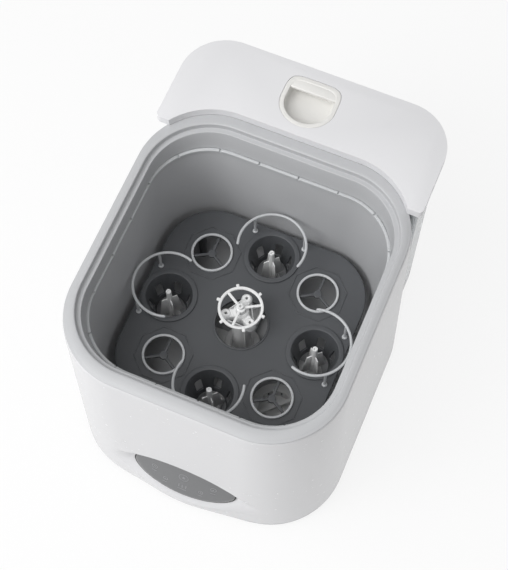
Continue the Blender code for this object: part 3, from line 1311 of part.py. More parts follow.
def make_power():
    inlet = wall_block("power_inlet", INLET_Y, INLET_Z, INLET_W, INLET_H, 0, INLET_DEEP, BLACK_MOULDED)
    behind = SHELL_WALL + GAP
    weld(inlet, wall_block("inlet_flange", INLET_Y, INLET_Z, INLET_W + 2 * INLET_FLANGE,
                           INLET_H + 2 * INLET_FLANGE, -behind, behind + INLET_FLANGE_T))
    cut(inlet, wall_block("inlet_recess", INLET_Y, INLET_Z, INLET_W - 2 * INLET_WALL,
                          INLET_H - 2 * INLET_WALL, 2 * INLET_FLANGE_T, INLET_DEEP - INLET_WALL))
    wall_x = -shell_size(INLET_Z)[0]
    for side in (-1, 1):
        y = INLET_Y + side * INLET_PIN_APART / 2
        tip, root = wall_x + INLET_WALL, wall_x + INLET_DEEP - INLET_WALL / 2
        weld(inlet, tube(f"inlet_pin_{side}", [(tip, y, INLET_Z), (root, y, INLET_Z)], INLET_PIN_R))
    low = TRAY_TOP + STANDOFF_H + GAP
    top = low + BOARD_T
    x, y = POWER_BOARD_X, POWER_BOARD_Y
    board = box("power_board", (x - POWER_BOARD_W / 2, y - POWER_BOARD_D / 2, low),
                (x + POWER_BOARD_W / 2, y + POWER_BOARD_D / 2, top), BOARD_GREEN)
    for name, radius, height, place in (("coil", COIL_R, COIL_H, (x, y - POWER_BOARD_D / 4)),
                                        ("capacitor_1", CAPACITOR_R, CAPACITOR_H, (x - COIL_R, y + COIL_R)),
                                        ("capacitor_2", CAPACITOR_R, CAPACITOR_H, (x + COIL_R, y + COIL_R))):
        weld(board, turned(name, [(radius, low + BOARD_T / 2), (radius, top + height)], place,
                           steps=SMALL_ROUND))


clear_scene()
shell = make_shell()
make_shell_openings(shell)
make_control_panel()
make_rim()
make_seal()
make_tub()
make_manifold()
make_crown(make_rotor())
make_bottle_places()
make_tank()
make_shelf()
make_tray()
make_pumps()
make_filter()
make_heater()
make_fan()
make_air_door()
make_power()
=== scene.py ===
"""Looks of a bottle washing machine: shell, tub, rack, spray column, water tank and touch panel.

Lengths are in metres in the machine's own frame. The front faces -Y, and heights and reaches
repeat those of the solid model, so that each piece stays in its place on what carries it.
"""
from math import copysign, cos, pi, radians, sin, sqrt

import bmesh
import bpy
from mathutils import Matrix, Vector


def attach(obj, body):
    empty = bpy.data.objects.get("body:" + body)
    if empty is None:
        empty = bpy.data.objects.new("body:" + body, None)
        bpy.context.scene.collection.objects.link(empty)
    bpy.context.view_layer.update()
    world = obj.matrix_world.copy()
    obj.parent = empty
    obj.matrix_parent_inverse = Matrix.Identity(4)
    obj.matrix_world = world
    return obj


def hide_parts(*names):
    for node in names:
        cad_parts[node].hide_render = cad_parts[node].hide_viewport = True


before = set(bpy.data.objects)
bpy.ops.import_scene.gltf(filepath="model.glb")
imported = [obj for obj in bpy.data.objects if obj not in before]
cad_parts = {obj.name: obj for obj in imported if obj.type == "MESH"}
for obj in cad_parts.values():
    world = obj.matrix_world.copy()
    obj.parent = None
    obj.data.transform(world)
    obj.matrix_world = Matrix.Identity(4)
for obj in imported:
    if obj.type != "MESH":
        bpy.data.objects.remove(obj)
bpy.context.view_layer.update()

# Clearances
GAP = 0.0003
OVER = 0.002
TUB_Y = -0.028

# Outer shell: half width, half depth and corner radius at its top and base
SHELL_TOP = (0.142, 0.154, 0.078, 0.286)
SHELL_BASE = (0.150, 0.161, 0.083, 0.0093)
SHELL_WALL = 0.003
SHELL_NECK = 0.0037
LIP_ROUND = 0.006
LIP_INSET = 0.002
FRONT = 0.173
CHIN_Z = 0.033
CHIN_HALF_X = 0.085
CHIN_DOWN = 0.038
CHIN_UP = 0.074

# Scoop and control panel
SCOOP_Z = 0.051
SCOOP_HALF_X = 0.082
SCOOP_UP = 0.057
SCOOP_DOWN = 0.0165
SEAT_HALF_X = 0.0597
SEAT_HALF_H = 0.0250
PANEL_Z = 0.0635
PANEL_HALF_X = 0.0577
PANEL_HALF_H = 0.0240
PANEL_BOW = 0.0049
PANEL_TILT = 20.0
PANEL_OUT = 0.160
PANEL_T = 0.0020
PANEL_EDGE = 0.0004
# Width of the black ring of painted shadow round the panel's edge
PANEL_SHADOW_W = 0.0006
PANEL_RINGS = 12
MARK_T = 0.00004

# Rim frame, seal and tub: half width, half depth, corner radius, height and edge round
RIM_SECTION = (
    (0.1380, 0.1500, 0.0740, 0.2580, 0), (0.1380, 0.1500, 0.0740, 0.2863, 0),
    (0.1412, 0.1532, 0.0772, 0.2863, 0.0003), (0.1410, 0.1530, 0.0770, 0.2872, 0.0006),
    (0.1385, 0.1505, 0.0745, 0.2877, 0.0006), (0.1379, 0.1499, 0.0739, 0.2880, 0),
    (0.1325, 0.1390, 0.0685, 0.2880, 0.0014), (0.1325, 0.1390, 0.0685, 0.2810, 0.0008),
    (0.1275, 0.1340, 0.0635, 0.2810, 0.0010), (0.1269, 0.1290, 0.0629, 0.2580, 0.0006),
    (0.1294, 0.1315, 0.0654, 0.2580, 0), (0.1294, 0.1365, 0.0654, 0.2785, 0),
    (0.1337, 0.1415, 0.0697, 0.2785, 0), (0.1337, 0.1415, 0.0697, 0.2855, 0),
    (0.1355, 0.1475, 0.0715, 0.2855, 0), (0.1355, 0.1475, 0.0715, 0.2580, 0))
SEAL_SECTION = (
    (0.1252, 0.1260, 0.0627, 0.2545, 0.0006), (0.1315, 0.1320, 0.0690, 0.2545, 0),
    (0.1315, 0.1320, 0.0690, 0.2577, 0), (0.1299, 0.1306, 0.0674, 0.2577, 0),
    (0.1293, 0.1300, 0.0668, 0.2562, 0.0003), (0.1286, 0.1294, 0.0661, 0.2562, 0.0003),
    (0.1284, 0.1292, 0.0659, 0.2577, 0.0005), (0.1252, 0.1260, 0.0627, 0.2577, 0.0009))
SEAL_NOTCH_APART = 0.043
SEAL_NOTCH_W = 0.0018
SEAL_NOTCH_L = 0.0036
SEAL_NOTCH_DEEP = 0.0022
TUB_SECTION = (
    (0.0960, 0.0970, 0.0340, 0.0780, 0), (0.1120, 0.1130, 0.0500, 0.0780, 0.0040),
    (0.1180, 0.1190, 0.0560, 0.0900, 0.0060), (0.1210, 0.1220, 0.0600, 0.1500, 0.0100),
    (0.1270, 0.1275, 0.0645, 0.2542, 0.0006), (0.1385, 0.1495, 0.0760, 0.2542, 0),
    (0.1385, 0.1495, 0.0760, 0.2517, 0), (0.1295, 0.1300, 0.0670, 0.2517, 0),
    (0.1235, 0.1245, 0.0625, 0.1500, 0), (0.1205, 0.1215, 0.0585, 0.0888, 0),
    (0.1145, 0.1155, 0.0525, 0.0755, 0))
TUB_FLOOR_Z = 0.078

# Spray column
PLACE_R = 0.083
MANIFOLD_Z = (0.0783, 0.0903)
ARM_HALF_W = 0.0070
ARM_START = 0.0080
SOCKET_R = 0.0100
HUB_R = 0.0200
TOWER_Z = (0.0906, 0.1680, 0.1955)
ROTOR_Z = (0.1686, 0.1840)
LOBE_AT = 0.0155
LOBE_R = 0.0058
ROTOR_HUB_R = 0.0090
LOBE_JET_R = 0.0016
RIB_T = 0.0012
CROWN_Z = 0.1905
CROWN_R = 0.0220
CROWN_WIRE = 0.0030
CROWN_HUB_R = 0.0053
CROWN_HUB_Z = (0.1846, 0.1923)
SPOKE_W = 0.0028
NUB_W = 0.0034
NUB_OUT = 0.0265
JET_SECTION = ((0, 0.0906, 0), (0.0065, 0.0906, 0.0005), (0.0065, 0.0928, 0.0008), (0.0040, 0.0965, 0.0010),
               (0.0028, 0.1580, 0.0006), (0.0013, 0.1580, 0.0002), (0.0013, 0.1560, 0), (0, 0.1560, 0))
JET_FIN_R = 0.0135
JET_FIN_T = 0.0018
JET_FIN_Z = (0.100, 0.140)
FIN_LEAN_SHARE = 0.35

# Bottle rack
DECK_Z = 0.146
DECK_T = 0.003
DECK_SKIRT_Z = 0.138
DECK_SIZE = (0.113, 0.115, 0.056)
DECK_SKIRT_T = 0.0025
DECK_CENTRE_R = 0.0275
DECK_BOTTLE_R = 0.0270
CORNER_X = 0.061
CORNER_Y = 0.063
CORNER_HOLE_R = 0.0205
CORNER_BAR_W = 0.0030
LEG_X = 0.084
LEG_Y = 0.086
LEG_R = 0.0045
CUP_SECTION = (
    (0.0157, 0.1080, 0.0004), (0.0175, 0.1080, 0.0004), (0.0267, 0.1463, 0), (0.0302, 0.1463, 0.0005),
    (0.0302, 0.1481, 0.0007), (0.0249, 0.1481, 0.0009))
CUP_SLOT_W = 0.0090
CUP_SLOT_Z = (0.1150, 0.1350)
HOOP_R = 0.036
WIRE_R = 0.0015
HOOP_Z = 0.177
HOOP_SWEEP = 111.0
HOOP_STEM = 52.0
CORNER_RING = (0.0199, 0.0225, 0.1463, 0.1489)
OCTAGON_R = 0.0315
OCTAGON_RIB = 0.0011
OCTAGON_H = 0.0008

# Water tank: half width, front, rear, front and rear corner radii, low and high
COVER_BLOCK = (0.141, 0.1175, 0.229, 0.0052, 0.049, 0.288, 0.298)
COVER_HUG = (0.1388, 0.1508, 0.0748)
BODY_BLOCK = (0.135, 0.1362, 0.221, 0.0030, 0.042, 0.0303, 0.2952)
BODY_HUG = (0.152, 0.163, 0.085)
COVER_WALL = 0.0025
GRIP_X = -0.006
GRIP_Y = 0.188
GRIP_HALF_X = 0.029
GRIP_FRONT = 0.027
GRIP_REAR = 0.028
GRIP_FLANGE = 0.003
GRIP_FLANGE_T = 0.0012
GRIP_WALL = 0.0018
GRIP_FLOOR_Z = 0.281
BAR_Y = (0.2012, 0.2125)
BAR_Z = (0.2934, 0.2976)
SHELF_Z = (0.0093, 0.0300)
SPIGOT_X = 0.085
SPIGOT_Z = 0.0195

# Base and side fittings
TRAY_Z = (0.006, 0.009)
FOOT_PLACES = ((-0.105, -0.110), (0.105, -0.110), (-0.105, 0.196), (0.105, 0.196))
AIR_DOOR = (-0.040, 0.042, 0.058, 0.036)
AIR_SLOTS = 5
INLET = (0.040, 0.032, 0.026, 0.020)

# Steps
CORNER_STEPS = 24
FRONT_STEPS = 88
ROUND = 64
SMALL_ROUND = 32


# Shapes

def at(x, y, z=0.0):
    """A place given from the tub's axis, in the machine's own frame."""
    return Vector((x, TUB_Y + y, z))


def eased(path, steps=4, closed=False):
    """Round the corners of a section whose points end in a height and an edge radius."""
    points = []
    count = len(path)
    for i, point in enumerate(path):
        *here, radius = point
        here = Vector(here)
        if not radius or (not closed and i in (0, count - 1)):
            points.append(tuple(here))
            continue
        before, after = Vector(path[i - 1][:-1]), Vector(path[(i + 1) % count][:-1])
        ends = []
        for other in (before, after):
            reach = sqrt((other[0] - here[0]) ** 2 + (other[-1] - here[-1]) ** 2)
            ends.append(here.lerp(other, min(0.5, radius / reach)))
        for k in range(steps + 1):
            share = k / steps
            points.append(tuple(ends[0].lerp(here, share).lerp(here.lerp(ends[1], share), share)))
    return points


def rounded_ring(bm, half_x, half_y, radius, z, front_steps=1):
    """A loose ring of edges: a rounded rectangle round the tub's axis."""
    corners = bmesh.ops.create_grid(bm, x_segments=1, y_segments=1, size=1)["verts"]
    for v in corners:
        v.co = at(copysign(half_x, v.co.x), copysign(half_y, v.co.y), z)
    bmesh.ops.bevel(bm, geom=corners, offset=radius, offset_type="OFFSET", affect="VERTICES",
                    segments=CORNER_STEPS, profile=0.5, material=-1)
    if front_steps > 1:
        front = min(bm.edges, key=lambda e: sum(v.co.y for v in e.verts))
        bmesh.ops.subdivide_edges(bm, edges=[front], cuts=front_steps - 1)
    bmesh.ops.delete(bm, geom=bm.faces[:], context="FACES_ONLY")
    return bm.edges[:]


def refitted(place, old, new):
    """Take a place on one rounded rectangle to the matching place on another."""
    moved = []
    for axis, here in enumerate((place.x, place.y - TUB_Y)):
        old_flat, new_flat = old[axis] - old[2], new[axis] - new[2]
        past = abs(here) - old_flat
        flat = abs(here) * new_flat / old_flat
        moved.append(copysign(new_flat + past * new[2] / old[2] if past > 0 else flat, here))
    return at(*moved, new[3])


def ring_stack(sections, closed=False, front_steps=1):
    """Skin rounded rectangles one after another; a closed stack goes back to its first."""
    bm = bmesh.new()
    first = ring = rounded_ring(bm, *sections[0], front_steps)
    following = sections[1:] + sections[:1] if closed else sections[1:]
    for old, new in zip(sections, following):
        made = bmesh.ops.extrude_edge_only(bm, edges=ring)["geom"]
        verts = {g for g in made if isinstance(g, bmesh.types.BMVert)}
        for v in verts:
            v.co = refitted(v.co, old, new)
        ring = [g for g in made if isinstance(g, bmesh.types.BMEdge) and verts.issuperset(g.verts)]
    if closed:
        bmesh.ops.remove_doubles(bm, verts=bm.verts, dist=1e-6)
    else:
        for end in (first, ring):
            bmesh.ops.contextual_create(bm, geom=end)
    bmesh.ops.recalc_face_normals(bm, faces=bm.faces)
    return bm


def turned(profile, place=(0, 0), steps=ROUND, closed=False):
    """Spin a section of radius and height about the upright through a place."""
    bm = bmesh.new()
    verts = [bm.verts.new(at(place[0] + point[0], place[1], point[-1])) for point in profile]
    edges = [bm.edges.new(pair) for pair in zip(verts, verts[1:])]
    if closed:
        edges.append(bm.edges.new((verts[-1], verts[0])))
    bmesh.ops.spin(bm, geom=verts + edges, cent=at(*place), axis=(0, 0, 1), angle=2 * pi, steps=steps,
                   use_merge=True)
    bmesh.ops.remove_doubles(bm, verts=bm.verts, dist=1e-6)
    bmesh.ops.recalc_face_normals(bm, faces=bm.faces)
    return bm


def rod(start, end, radius, end_radius=None, steps=SMALL_ROUND):
    """A round bar between two places given from the tub's axis."""
    a, b = at(*start), at(*end)
    bm = bmesh.new()
    bmesh.ops.create_cone(bm, cap_ends=True, segments=steps, radius1=radius,
                          radius2=radius if end_radius is None else end_radius, depth=(b - a).length)
    turn = (b - a).to_track_quat("Z", "Y").to_matrix().to_4x4()
    bmesh.ops.transform(bm, matrix=Matrix.Translation((a + b) / 2) @ turn, verts=bm.verts)
    return bm


def block(low, high, round_edges=0.0, steps=3):
    """A box between two corners given from the tub's axis, with its edges rounded."""
    bm = bmesh.new()
    bmesh.ops.create_cube(bm, size=1)
    for v in bm.verts:
        v.co = at(*(low[i] if v.co[i] < 0 else high[i] for i in range(3)))
    if round_edges:
        bmesh.ops.bevel(bm, geom=bm.edges[:], offset=round_edges, offset_type="OFFSET", affect="EDGES",
                        segments=steps, profile=0.5, material=-1)
    return bm


def bar(length, width, low, high, place, angle, round_edges=0.0):
    """A flat bar centred on a place and turned about the upright through it."""
    bm = block((-length / 2, -width / 2, low), (length / 2, width / 2, high), round_edges)
    return set_down(bm, place, angle)


def set_down(bm, place, angle=0.0):
    """Turn a shape made on the tub's axis, then move it to its place."""
    axis = at(0, 0)
    bmesh.ops.rotate(bm, cent=axis, matrix=Matrix.Rotation(radians(angle), 3, "Z"), verts=bm.verts)
    bmesh.ops.translate(bm, vec=(place[0], place[1], 0), verts=bm.verts)
    return bm


def copied(bm):
    return bm.copy()


def together(*parts):
    """Put several shapes in one mesh."""
    whole = parts[0]
    for part in parts[1:]:
        mesh = bpy.data.meshes.new("part")
        part.to_mesh(mesh)
        part.free()
        whole.from_mesh(mesh)
        bpy.data.meshes.remove(mesh)
    return whole


def carved(bm, *tools, operation="DIFFERENCE"):
    """Cut tools out of a shape, or weld them onto it."""
    helpers = []
    for shape in (bm, *tools):
        bmesh.ops.recalc_face_normals(shape, faces=shape.faces)
        mesh = bpy.data.meshes.new("helper")
        shape.to_mesh(mesh)
        shape.free()
        helper = bpy.data.objects.new("helper", mesh)
        bpy.context.scene.collection.objects.link(helper)
        helpers.append(helper)
    for tool in helpers[1:]:
        modifier = helpers[0].modifiers.new("carve", "BOOLEAN")
        modifier.operation = operation
        modifier.solver = "EXACT"
        modifier.object = tool
    bpy.context.view_layer.update()
    result = bpy.data.meshes.new_from_object(helpers[0].evaluated_get(bpy.context.evaluated_depsgraph_get()))
    shape = bmesh.new()
    shape.from_mesh(result)
    for helper in helpers:
        mesh = helper.data
        bpy.data.objects.remove(helper)
        bpy.data.meshes.remove(mesh)
    bpy.data.meshes.remove(result)
    return shape


def edges_where(bm, test, sharper_than=30.0):
    """Edges between two faces that meet at more than an angle, chosen by where they are."""
    return [e for e in bm.edges if len(e.link_faces) == 2 and e.calc_face_angle() > radians(sharper_than)
            and test((e.verts[0].co + e.verts[1].co) / 2)]


def rounded_off(bm, edges, radius, steps=3):
    bmesh.ops.bevel(bm, geom=edges, offset=radius, offset_type="OFFSET", affect="EDGES", segments=steps,
                    profile=0.5, material=-1, clamp_overlap=True)
    return bm


def piece(name, bm, body, material, stands_for=(), angle=32.0):
    """Finish a shape as a piece that rides on a body and stands for its solids."""
    bmesh.ops.remove_doubles(bm, verts=bm.verts, dist=1e-6)
    bmesh.ops.recalc_face_normals(bm, faces=bm.faces)
    mesh = bpy.data.meshes.new(name)
    bm.to_mesh(mesh)
    bm.free()
    mesh.shade_smooth()
    mesh.set_sharp_from_angle(angle=radians(angle))
    mesh.materials.append(material)
    obj = bpy.data.objects.new(name, mesh)
    bpy.context.scene.collection.objects.link(obj)
    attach(obj, body)
    if stands_for:
        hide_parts(*stands_for)
    return obj


def polar(radius, angle, centre=(0, 0)):
    return centre[0] + radius * cos(radians(angle)), centre[1] + radius * sin(radians(angle))


PLACES = [polar(PLACE_R, turn) for turn in (0, 90, 180, 270)]
CORNERS = [(x, y) for x in (-CORNER_X, CORNER_X) for y in (-CORNER_Y, CORNER_Y)]


# Materials

def linear(colour):
    """An sRGB hex colour as linear red, green, blue and alpha."""
    shares = [int(colour[i:i + 2], 16) / 255 for i in (0, 2, 4)]
    return (*[c / 12.92 if c <= 0.04045 else ((c + 0.055) / 1.055) ** 2.4 for c in shares], 1.0)


def add_node(tree, kind, settings=None, values=None, links=None):
    """Add a node with its settings, its sockets' values and what its sockets are linked to."""
    node = tree.nodes.new(kind)
    for name, value in (settings or {}).items():
        setattr(node, name, value)
    for socket, value in (values or {}).items():
        node.inputs[socket].default_value = value
    for socket, source in (links or {}).items():
        tree.links.new(source, node.inputs[socket])
    return node


def per_mm(size):
    """The scale of a noise whose features are this many millimetres apart."""
    return 1000.0 / size


def moulded(name, colour, second, roughness, grain_mm=1.2, grain_depth=0.00003, cloud_mm=70.0,
            rough_spread=0.06, **shader_values):
    """A moulded plastic or rubber: flow clouds in its colour, and the mould's grain in its gloss and skin."""
    material = bpy.data.materials.new(name)
    material.use_nodes = True
    tree = material.node_tree
    shader = tree.nodes["Principled BSDF"]
    place = add_node(tree, "ShaderNodeTexCoord").outputs["Object"]
    clouds = add_node(tree, "ShaderNodeTexNoise", values={"Scale": per_mm(cloud_mm), "Detail": 3.0},
                      links={"Vector": place})
    tone = add_node(tree, "ShaderNodeMix", {"data_type": "RGBA"},
                    {6: linear(colour), 7: linear(second)}, {0: clouds.outputs["Fac"]})
    grain = add_node(tree, "ShaderNodeTexNoise", values={"Scale": per_mm(grain_mm), "Detail": 2.0},
                     links={"Vector": place})
    gloss = add_node(tree, "ShaderNodeMapRange", values={"To Min": roughness - rough_spread,
                     "To Max": roughness + rough_spread}, links={"Value": grain.outputs["Fac"]})
    bump = add_node(tree, "ShaderNodeBump", values={"Strength": 0.5, "Distance": grain_depth},
                    links={"Height": grain.outputs["Fac"]})
    tree.links.new(tone.outputs[2], shader.inputs["Base Color"])
    tree.links.new(gloss.outputs["Result"], shader.inputs["Roughness"])
    tree.links.new(bump.outputs["Normal"], shader.inputs["Normal"])
    for socket, value in shader_values.items():
        shader.inputs[socket.replace("_", " ")].default_value = value
    return material


# Gloss ABS, polished mould: a clear highlight that a faint orange-peel skin softens.
shell_abs = moulded("gloss_white_abs", "DDDDDF", "D9D9DB", 0.26, 5.0, 0.00002, 120.0, 0.03)
# Satin ABS, spark-eroded mould: an even grey without a clear reflection.
rim_abs = moulded("satin_grey_abs", "BFC0C2", "BABBBD", 0.42, 0.9, 0.00003)
# Silicone, matt: a softer and paler grey than the frame round it.
seal_silicone = moulded("matt_grey_silicone", "C9CBCC", "C2C4C6", 0.58, 1.4, 0.00002)
# Polypropylene, satin mould: the tub's mid grey with slow flow clouds.
tub_polypropylene = moulded("satin_grey_polypropylene", "BFC0C2", "B8B9BB", 0.36, 1.5, 0.00003, 55.0)
# Polypropylene, eroded mould: the rack's dark grey with a fine matt grain.
rack_polypropylene = moulded("matt_dark_polypropylene", "56585B", "4D4F52", 0.46, 0.8, 0.00005, 40.0)
# Acetal, as moulded: smooth light grey rods and rings with a soft sheen.
hoop_acetal = moulded("smooth_grey_acetal", "C9CBCD", "C0C2C4", 0.36, 1.0, 0.00002, 30.0)
# Polypropylene, polished mould: the white spray parts.
spray_polypropylene = moulded("smooth_white_polypropylene", "EFEFEF", "E8E9E9", 0.34, 1.0, 0.00002, 30.0)
# Polycarbonate, frosted mould: a pale, slightly milky cover.
cover_polycarbonate = moulded("frosted_pale_polycarbonate", "E6E6E8", "E1E1E3", 0.38, 0.8, 0.00003, 90.0)
# Clear SAN: the tank's see-through pale wall.
tank_san = moulded("clear_pale_san", "E6EAEC", "DFE4E7", 0.22, 3.0, 0.00002, 80.0,
                   Transmission_Weight=0.55, IOR=1.57)
# ABS, warm white: the lift grip.
grip_abs = moulded("smooth_warm_abs", "E9E8E5", "E4E3E0", 0.36, 0.9, 0.00002, 30.0)
# Smoked acrylic: dark, with a hard gloss skin that mirrors the room.
panel_acrylic = moulded("gloss_smoked_acrylic", "67686A", "616264", 0.10, 6.0, 0.000005, 60.0, 0.02,
                        Coat_Weight=0.6, Coat_Roughness=0.05)
# The printed marks behind the acrylic: a thin light grey ink.
panel_ink = moulded("printed_grey_ink", "8F9092", "868789", 0.30, 0.6, 0.00001, 8.0)
# Painted shadow: a black ring round the panel's edge stands for the shadow that the glass's edge casts, not for a
# colour of the acrylic.
panel_edge_painted_shadow = moulded("painted_edge_shadow", "202122", "1B1C1D", 0.25, 1.0, 0.00001, 20.0)
# Rubber, moulded: the feet's matt dark grey.
foot_rubber = moulded("matt_grey_rubber", "5E5F61", "535456", 0.74, 0.9, 0.00006, 12.0)
# Circuit board: green solder mask over glass cloth, with a woven look.
board_mask = moulded("green_solder_mask", "2F6E45", "285F3B", 0.42, 0.5, 0.00003, 6.0)
# Zinc plated steel, drawn: motor cans, heater and screws.
plated_steel = moulded("drawn_plated_steel", "C2C4C7", "B4B6B9", 0.30, 0.7, 0.00002, 14.0, Metallic=1.0)
# Polypropylene, grey: pump cases, duct and tray under the machine.
case_polypropylene = moulded("grey_case_polypropylene", "909498", "85898D", 0.48, 1.0, 0.00004, 30.0)
# Nylon with glass, black: fan case and power inlet.
black_nylon = moulded("black_glass_nylon", "2E2F31", "262729", 0.50, 0.7, 0.00005, 20.0)
# Silicone hose: milky and a little see-through.
hose_silicone = moulded("milky_silicone_hose", "D4D8DA", "C8CCCF", 0.36, 2.0, 0.00003, 20.0,
                        Transmission_Weight=0.25)
# Needled fibre: the filter pad's fuzzy pale face.
pad_fibre = moulded("needled_fibre_pad", "DEE0E1", "C4C7C9", 0.92, 0.6, 0.00030, 3.0)


# Shell with the chin, the scoop and the round lip

def shell_size(z, inset=0.0):
    """Half width, half depth and corner radius of the shell at a height."""
    share = max(0.0, min(1.0, (SHELL_TOP[3] - z) / (SHELL_TOP[3] - SHELL_BASE[3])))
    sizes = [top + (base - top) * share for top, base in zip(SHELL_TOP[:3], SHELL_BASE[:3])]
    return [size - inset for size in sizes]


CHIN_OUT = FRONT - shell_size(CHIN_Z)[1]


def wall_front(x, z):
    """Where the plain front wall stands, from the tub's axis, as a distance towards the front."""
    half_x, half_y, radius = shell_size(z)
    past = max(0.0, abs(x) - (half_x - radius))
    return half_y - radius + sqrt(max(0.0, radius ** 2 - past ** 2))


def chin(x, z):
    across = abs(x) / CHIN_HALF_X
    upward = abs(z - CHIN_Z) / (CHIN_UP if z > CHIN_Z else CHIN_DOWN)
    if across >= 1 or upward >= 1:
        return 0.0
    fall = (1 - upward ** 2) ** 2 if z > CHIN_Z else 1 - upward ** 2
    return CHIN_OUT * (1 - across ** 2) ** 2 * fall


def seat_out(x, z):
    """How far out the panel's seat is, on the face that leans back with the panel."""
    rise = (z - PANEL_Z) / cos(radians(PANEL_TILT))
    return PANEL_OUT - rise * sin(radians(PANEL_TILT)) - PANEL_BOW * (x / PANEL_HALF_X) ** 2 - PANEL_T - GAP


def scooped(x, z):
    """How far the scoop takes the wall back at a place on the front."""
    outer = wall_front(x, z) + chin(x, z)
    seat = sqrt((x / SEAT_HALF_X) ** 2 + ((z - PANEL_Z) / SEAT_HALF_H) ** 2) - 1
    reach = SCOOP_UP if z > SCOOP_Z else SCOOP_DOWN
    mouth = 1 - sqrt((x / SCOOP_HALF_X) ** 2 + ((z - SCOOP_Z) / reach) ** 2)
    if mouth <= 0:
        return 0.0
    share = 0.0 if seat <= 0 else seat / (seat + mouth)
    return max(0.0, (outer - seat_out(x, z)) * (1 - share))


def shell_levels():
    """Heights of the shell's rings: close together at the scoop, wide apart above it."""
    fine = [SHELL_BASE[3] + 0.0015 * k for k in range(1, 70)]
    return fine + [0.120, 0.140, 0.180, 0.230, SHELL_TOP[3] - LIP_ROUND - 0.004]


def wall_block(middle_y, middle_z, width, height, out, deep, round_edges=0.0):
    """A block set square in the left wall: out is how far it stands out, deep how far it goes in."""
    low = (-shell_size(middle_z)[0] - out, middle_y - width / 2, middle_z - height / 2)
    high = (-shell_size(middle_z)[0] + deep, middle_y + width / 2, middle_z + height / 2)
    bm = block(low, high, round_edges)
    lean = (SHELL_BASE[0] - SHELL_TOP[0]) / (SHELL_TOP[3] - SHELL_BASE[3])
    for v in bm.verts:
        v.co.x += lean * (v.co.z - middle_z)
    return bm


def make_shell():
    levels = shell_levels()
    base, top = SHELL_BASE[3], SHELL_TOP[3]
    sections = [(*shell_size(base, 0.0008), base), (*shell_size(base), base + 0.0010)]
    sections += [(*shell_size(z), z) for z in levels]
    for k in range(7):
        turn = k / 6 * pi / 2
        sections.append((*shell_size(top, LIP_INSET * (1 - cos(turn))), top - LIP_ROUND * (1 - sin(turn))))
    sections += [(*shell_size(top, SHELL_NECK - 0.0004), top), (*shell_size(top, SHELL_NECK), top - 0.0005),
                 (*shell_size(top, SHELL_NECK), 0.2572)]
    sections += [(*shell_size(z, SHELL_WALL), z) for z in reversed(levels[:-1])]
    sections.append((*shell_size(base, SHELL_WALL), base))
    bm = ring_stack(sections, closed=True, front_steps=FRONT_STEPS)
    for v in bm.verts:
        x, y, z = v.co.x, v.co.y - TUB_Y, v.co.z
        if y < 0:
            v.co.y -= chin(x, z) - scooped(x, z)
    soft = [v for v in bm.verts if v.co.y - TUB_Y < 0 and abs(v.co.x) < 0.09 and base + 0.004 < v.co.z < 0.112]
    for _ in range(2):
        bmesh.ops.smooth_vert(bm, verts=soft, factor=0.4, use_axis_y=True)
    y, z, width, height = AIR_DOOR
    inlet_y, inlet_z, inlet_w, inlet_h = INLET
    rear = shell_size(base)[1]
    bm = carved(bm, wall_block(y, z, width + 2 * GAP, height + 2 * GAP, OVER, SHELL_WALL + OVER, 0.0),
                wall_block(inlet_y, inlet_z, inlet_w + 2 * GAP, inlet_h + 2 * GAP, OVER, SHELL_WALL + OVER),
                rod((0.045, rear - 0.02, 0.0195), (0.045, rear + OVER, 0.0195), 0.0071),
                rod((SPIGOT_X, rear - 0.02, SPIGOT_Z), (SPIGOT_X, rear + OVER, SPIGOT_Z), 0.0071))
    piece("washer_shell", bm, "machine", shell_abs, ["outer_shell"], angle=38.0)


def on_panel(u, v, lift=0.0):
    """A place on the panel's face, from how far across and up it is."""
    lean, rise = sin(radians(PANEL_TILT)), cos(radians(PANEL_TILT))
    out = PANEL_OUT - PANEL_BOW * (u / PANEL_HALF_X) ** 2 - v * lean
    return at(u, -out - lift * rise, PANEL_Z + v * rise + lift * lean)


def on_oval(row, closed=False):
    """Spin a row of shares of the panel's size and lifts into an oval on its bowed face."""
    bm = turned([(share, lift) for share, lift in row], steps=96, closed=closed)
    for v in bm.verts:
        v.co = on_panel(v.co.x * PANEL_HALF_X, (v.co.y - TUB_Y) * PANEL_HALF_H, v.co.z)
    return bm


def flat_mark(kind, u, v, size, width=0.0007):
    """One printed mark on the panel, as a thin raised outline or shape."""
    bm = bmesh.new()
    if kind == "ring":
        bmesh.ops.create_circle(bm, segments=28, radius=size)
        made = bmesh.ops.extrude_edge_only(bm, edges=bm.edges[:])
        inner = [g for g in made["geom"] if isinstance(g, bmesh.types.BMVert)]
        bmesh.ops.scale(bm, vec=(1 - width / size,) * 3, verts=inner)
    elif kind == "bar":
        bmesh.ops.create_grid(bm, x_segments=1, y_segments=1, size=0.5)
        bmesh.ops.scale(bm, vec=(size, width, 1), verts=bm.verts)
    elif kind == "post":
        bmesh.ops.create_grid(bm, x_segments=1, y_segments=1, size=0.5)
        bmesh.ops.scale(bm, vec=(width, size, 1), verts=bm.verts)
    else:
        bmesh.ops.create_circle(bm, segments=20, radius=size, cap_ends=True)
        for vert in bm.verts:
            if vert.co.y > 0:
                vert.co.x *= 1 - vert.co.y / size
                vert.co.y *= 1.7
    bmesh.ops.solidify(bm, geom=bm.faces[:], thickness=MARK_T)
    for vert in bm.verts:
        vert.co = on_panel(vert.co.x + u, vert.co.y + v, abs(vert.co.z) + MARK_T / 2)
    return bm


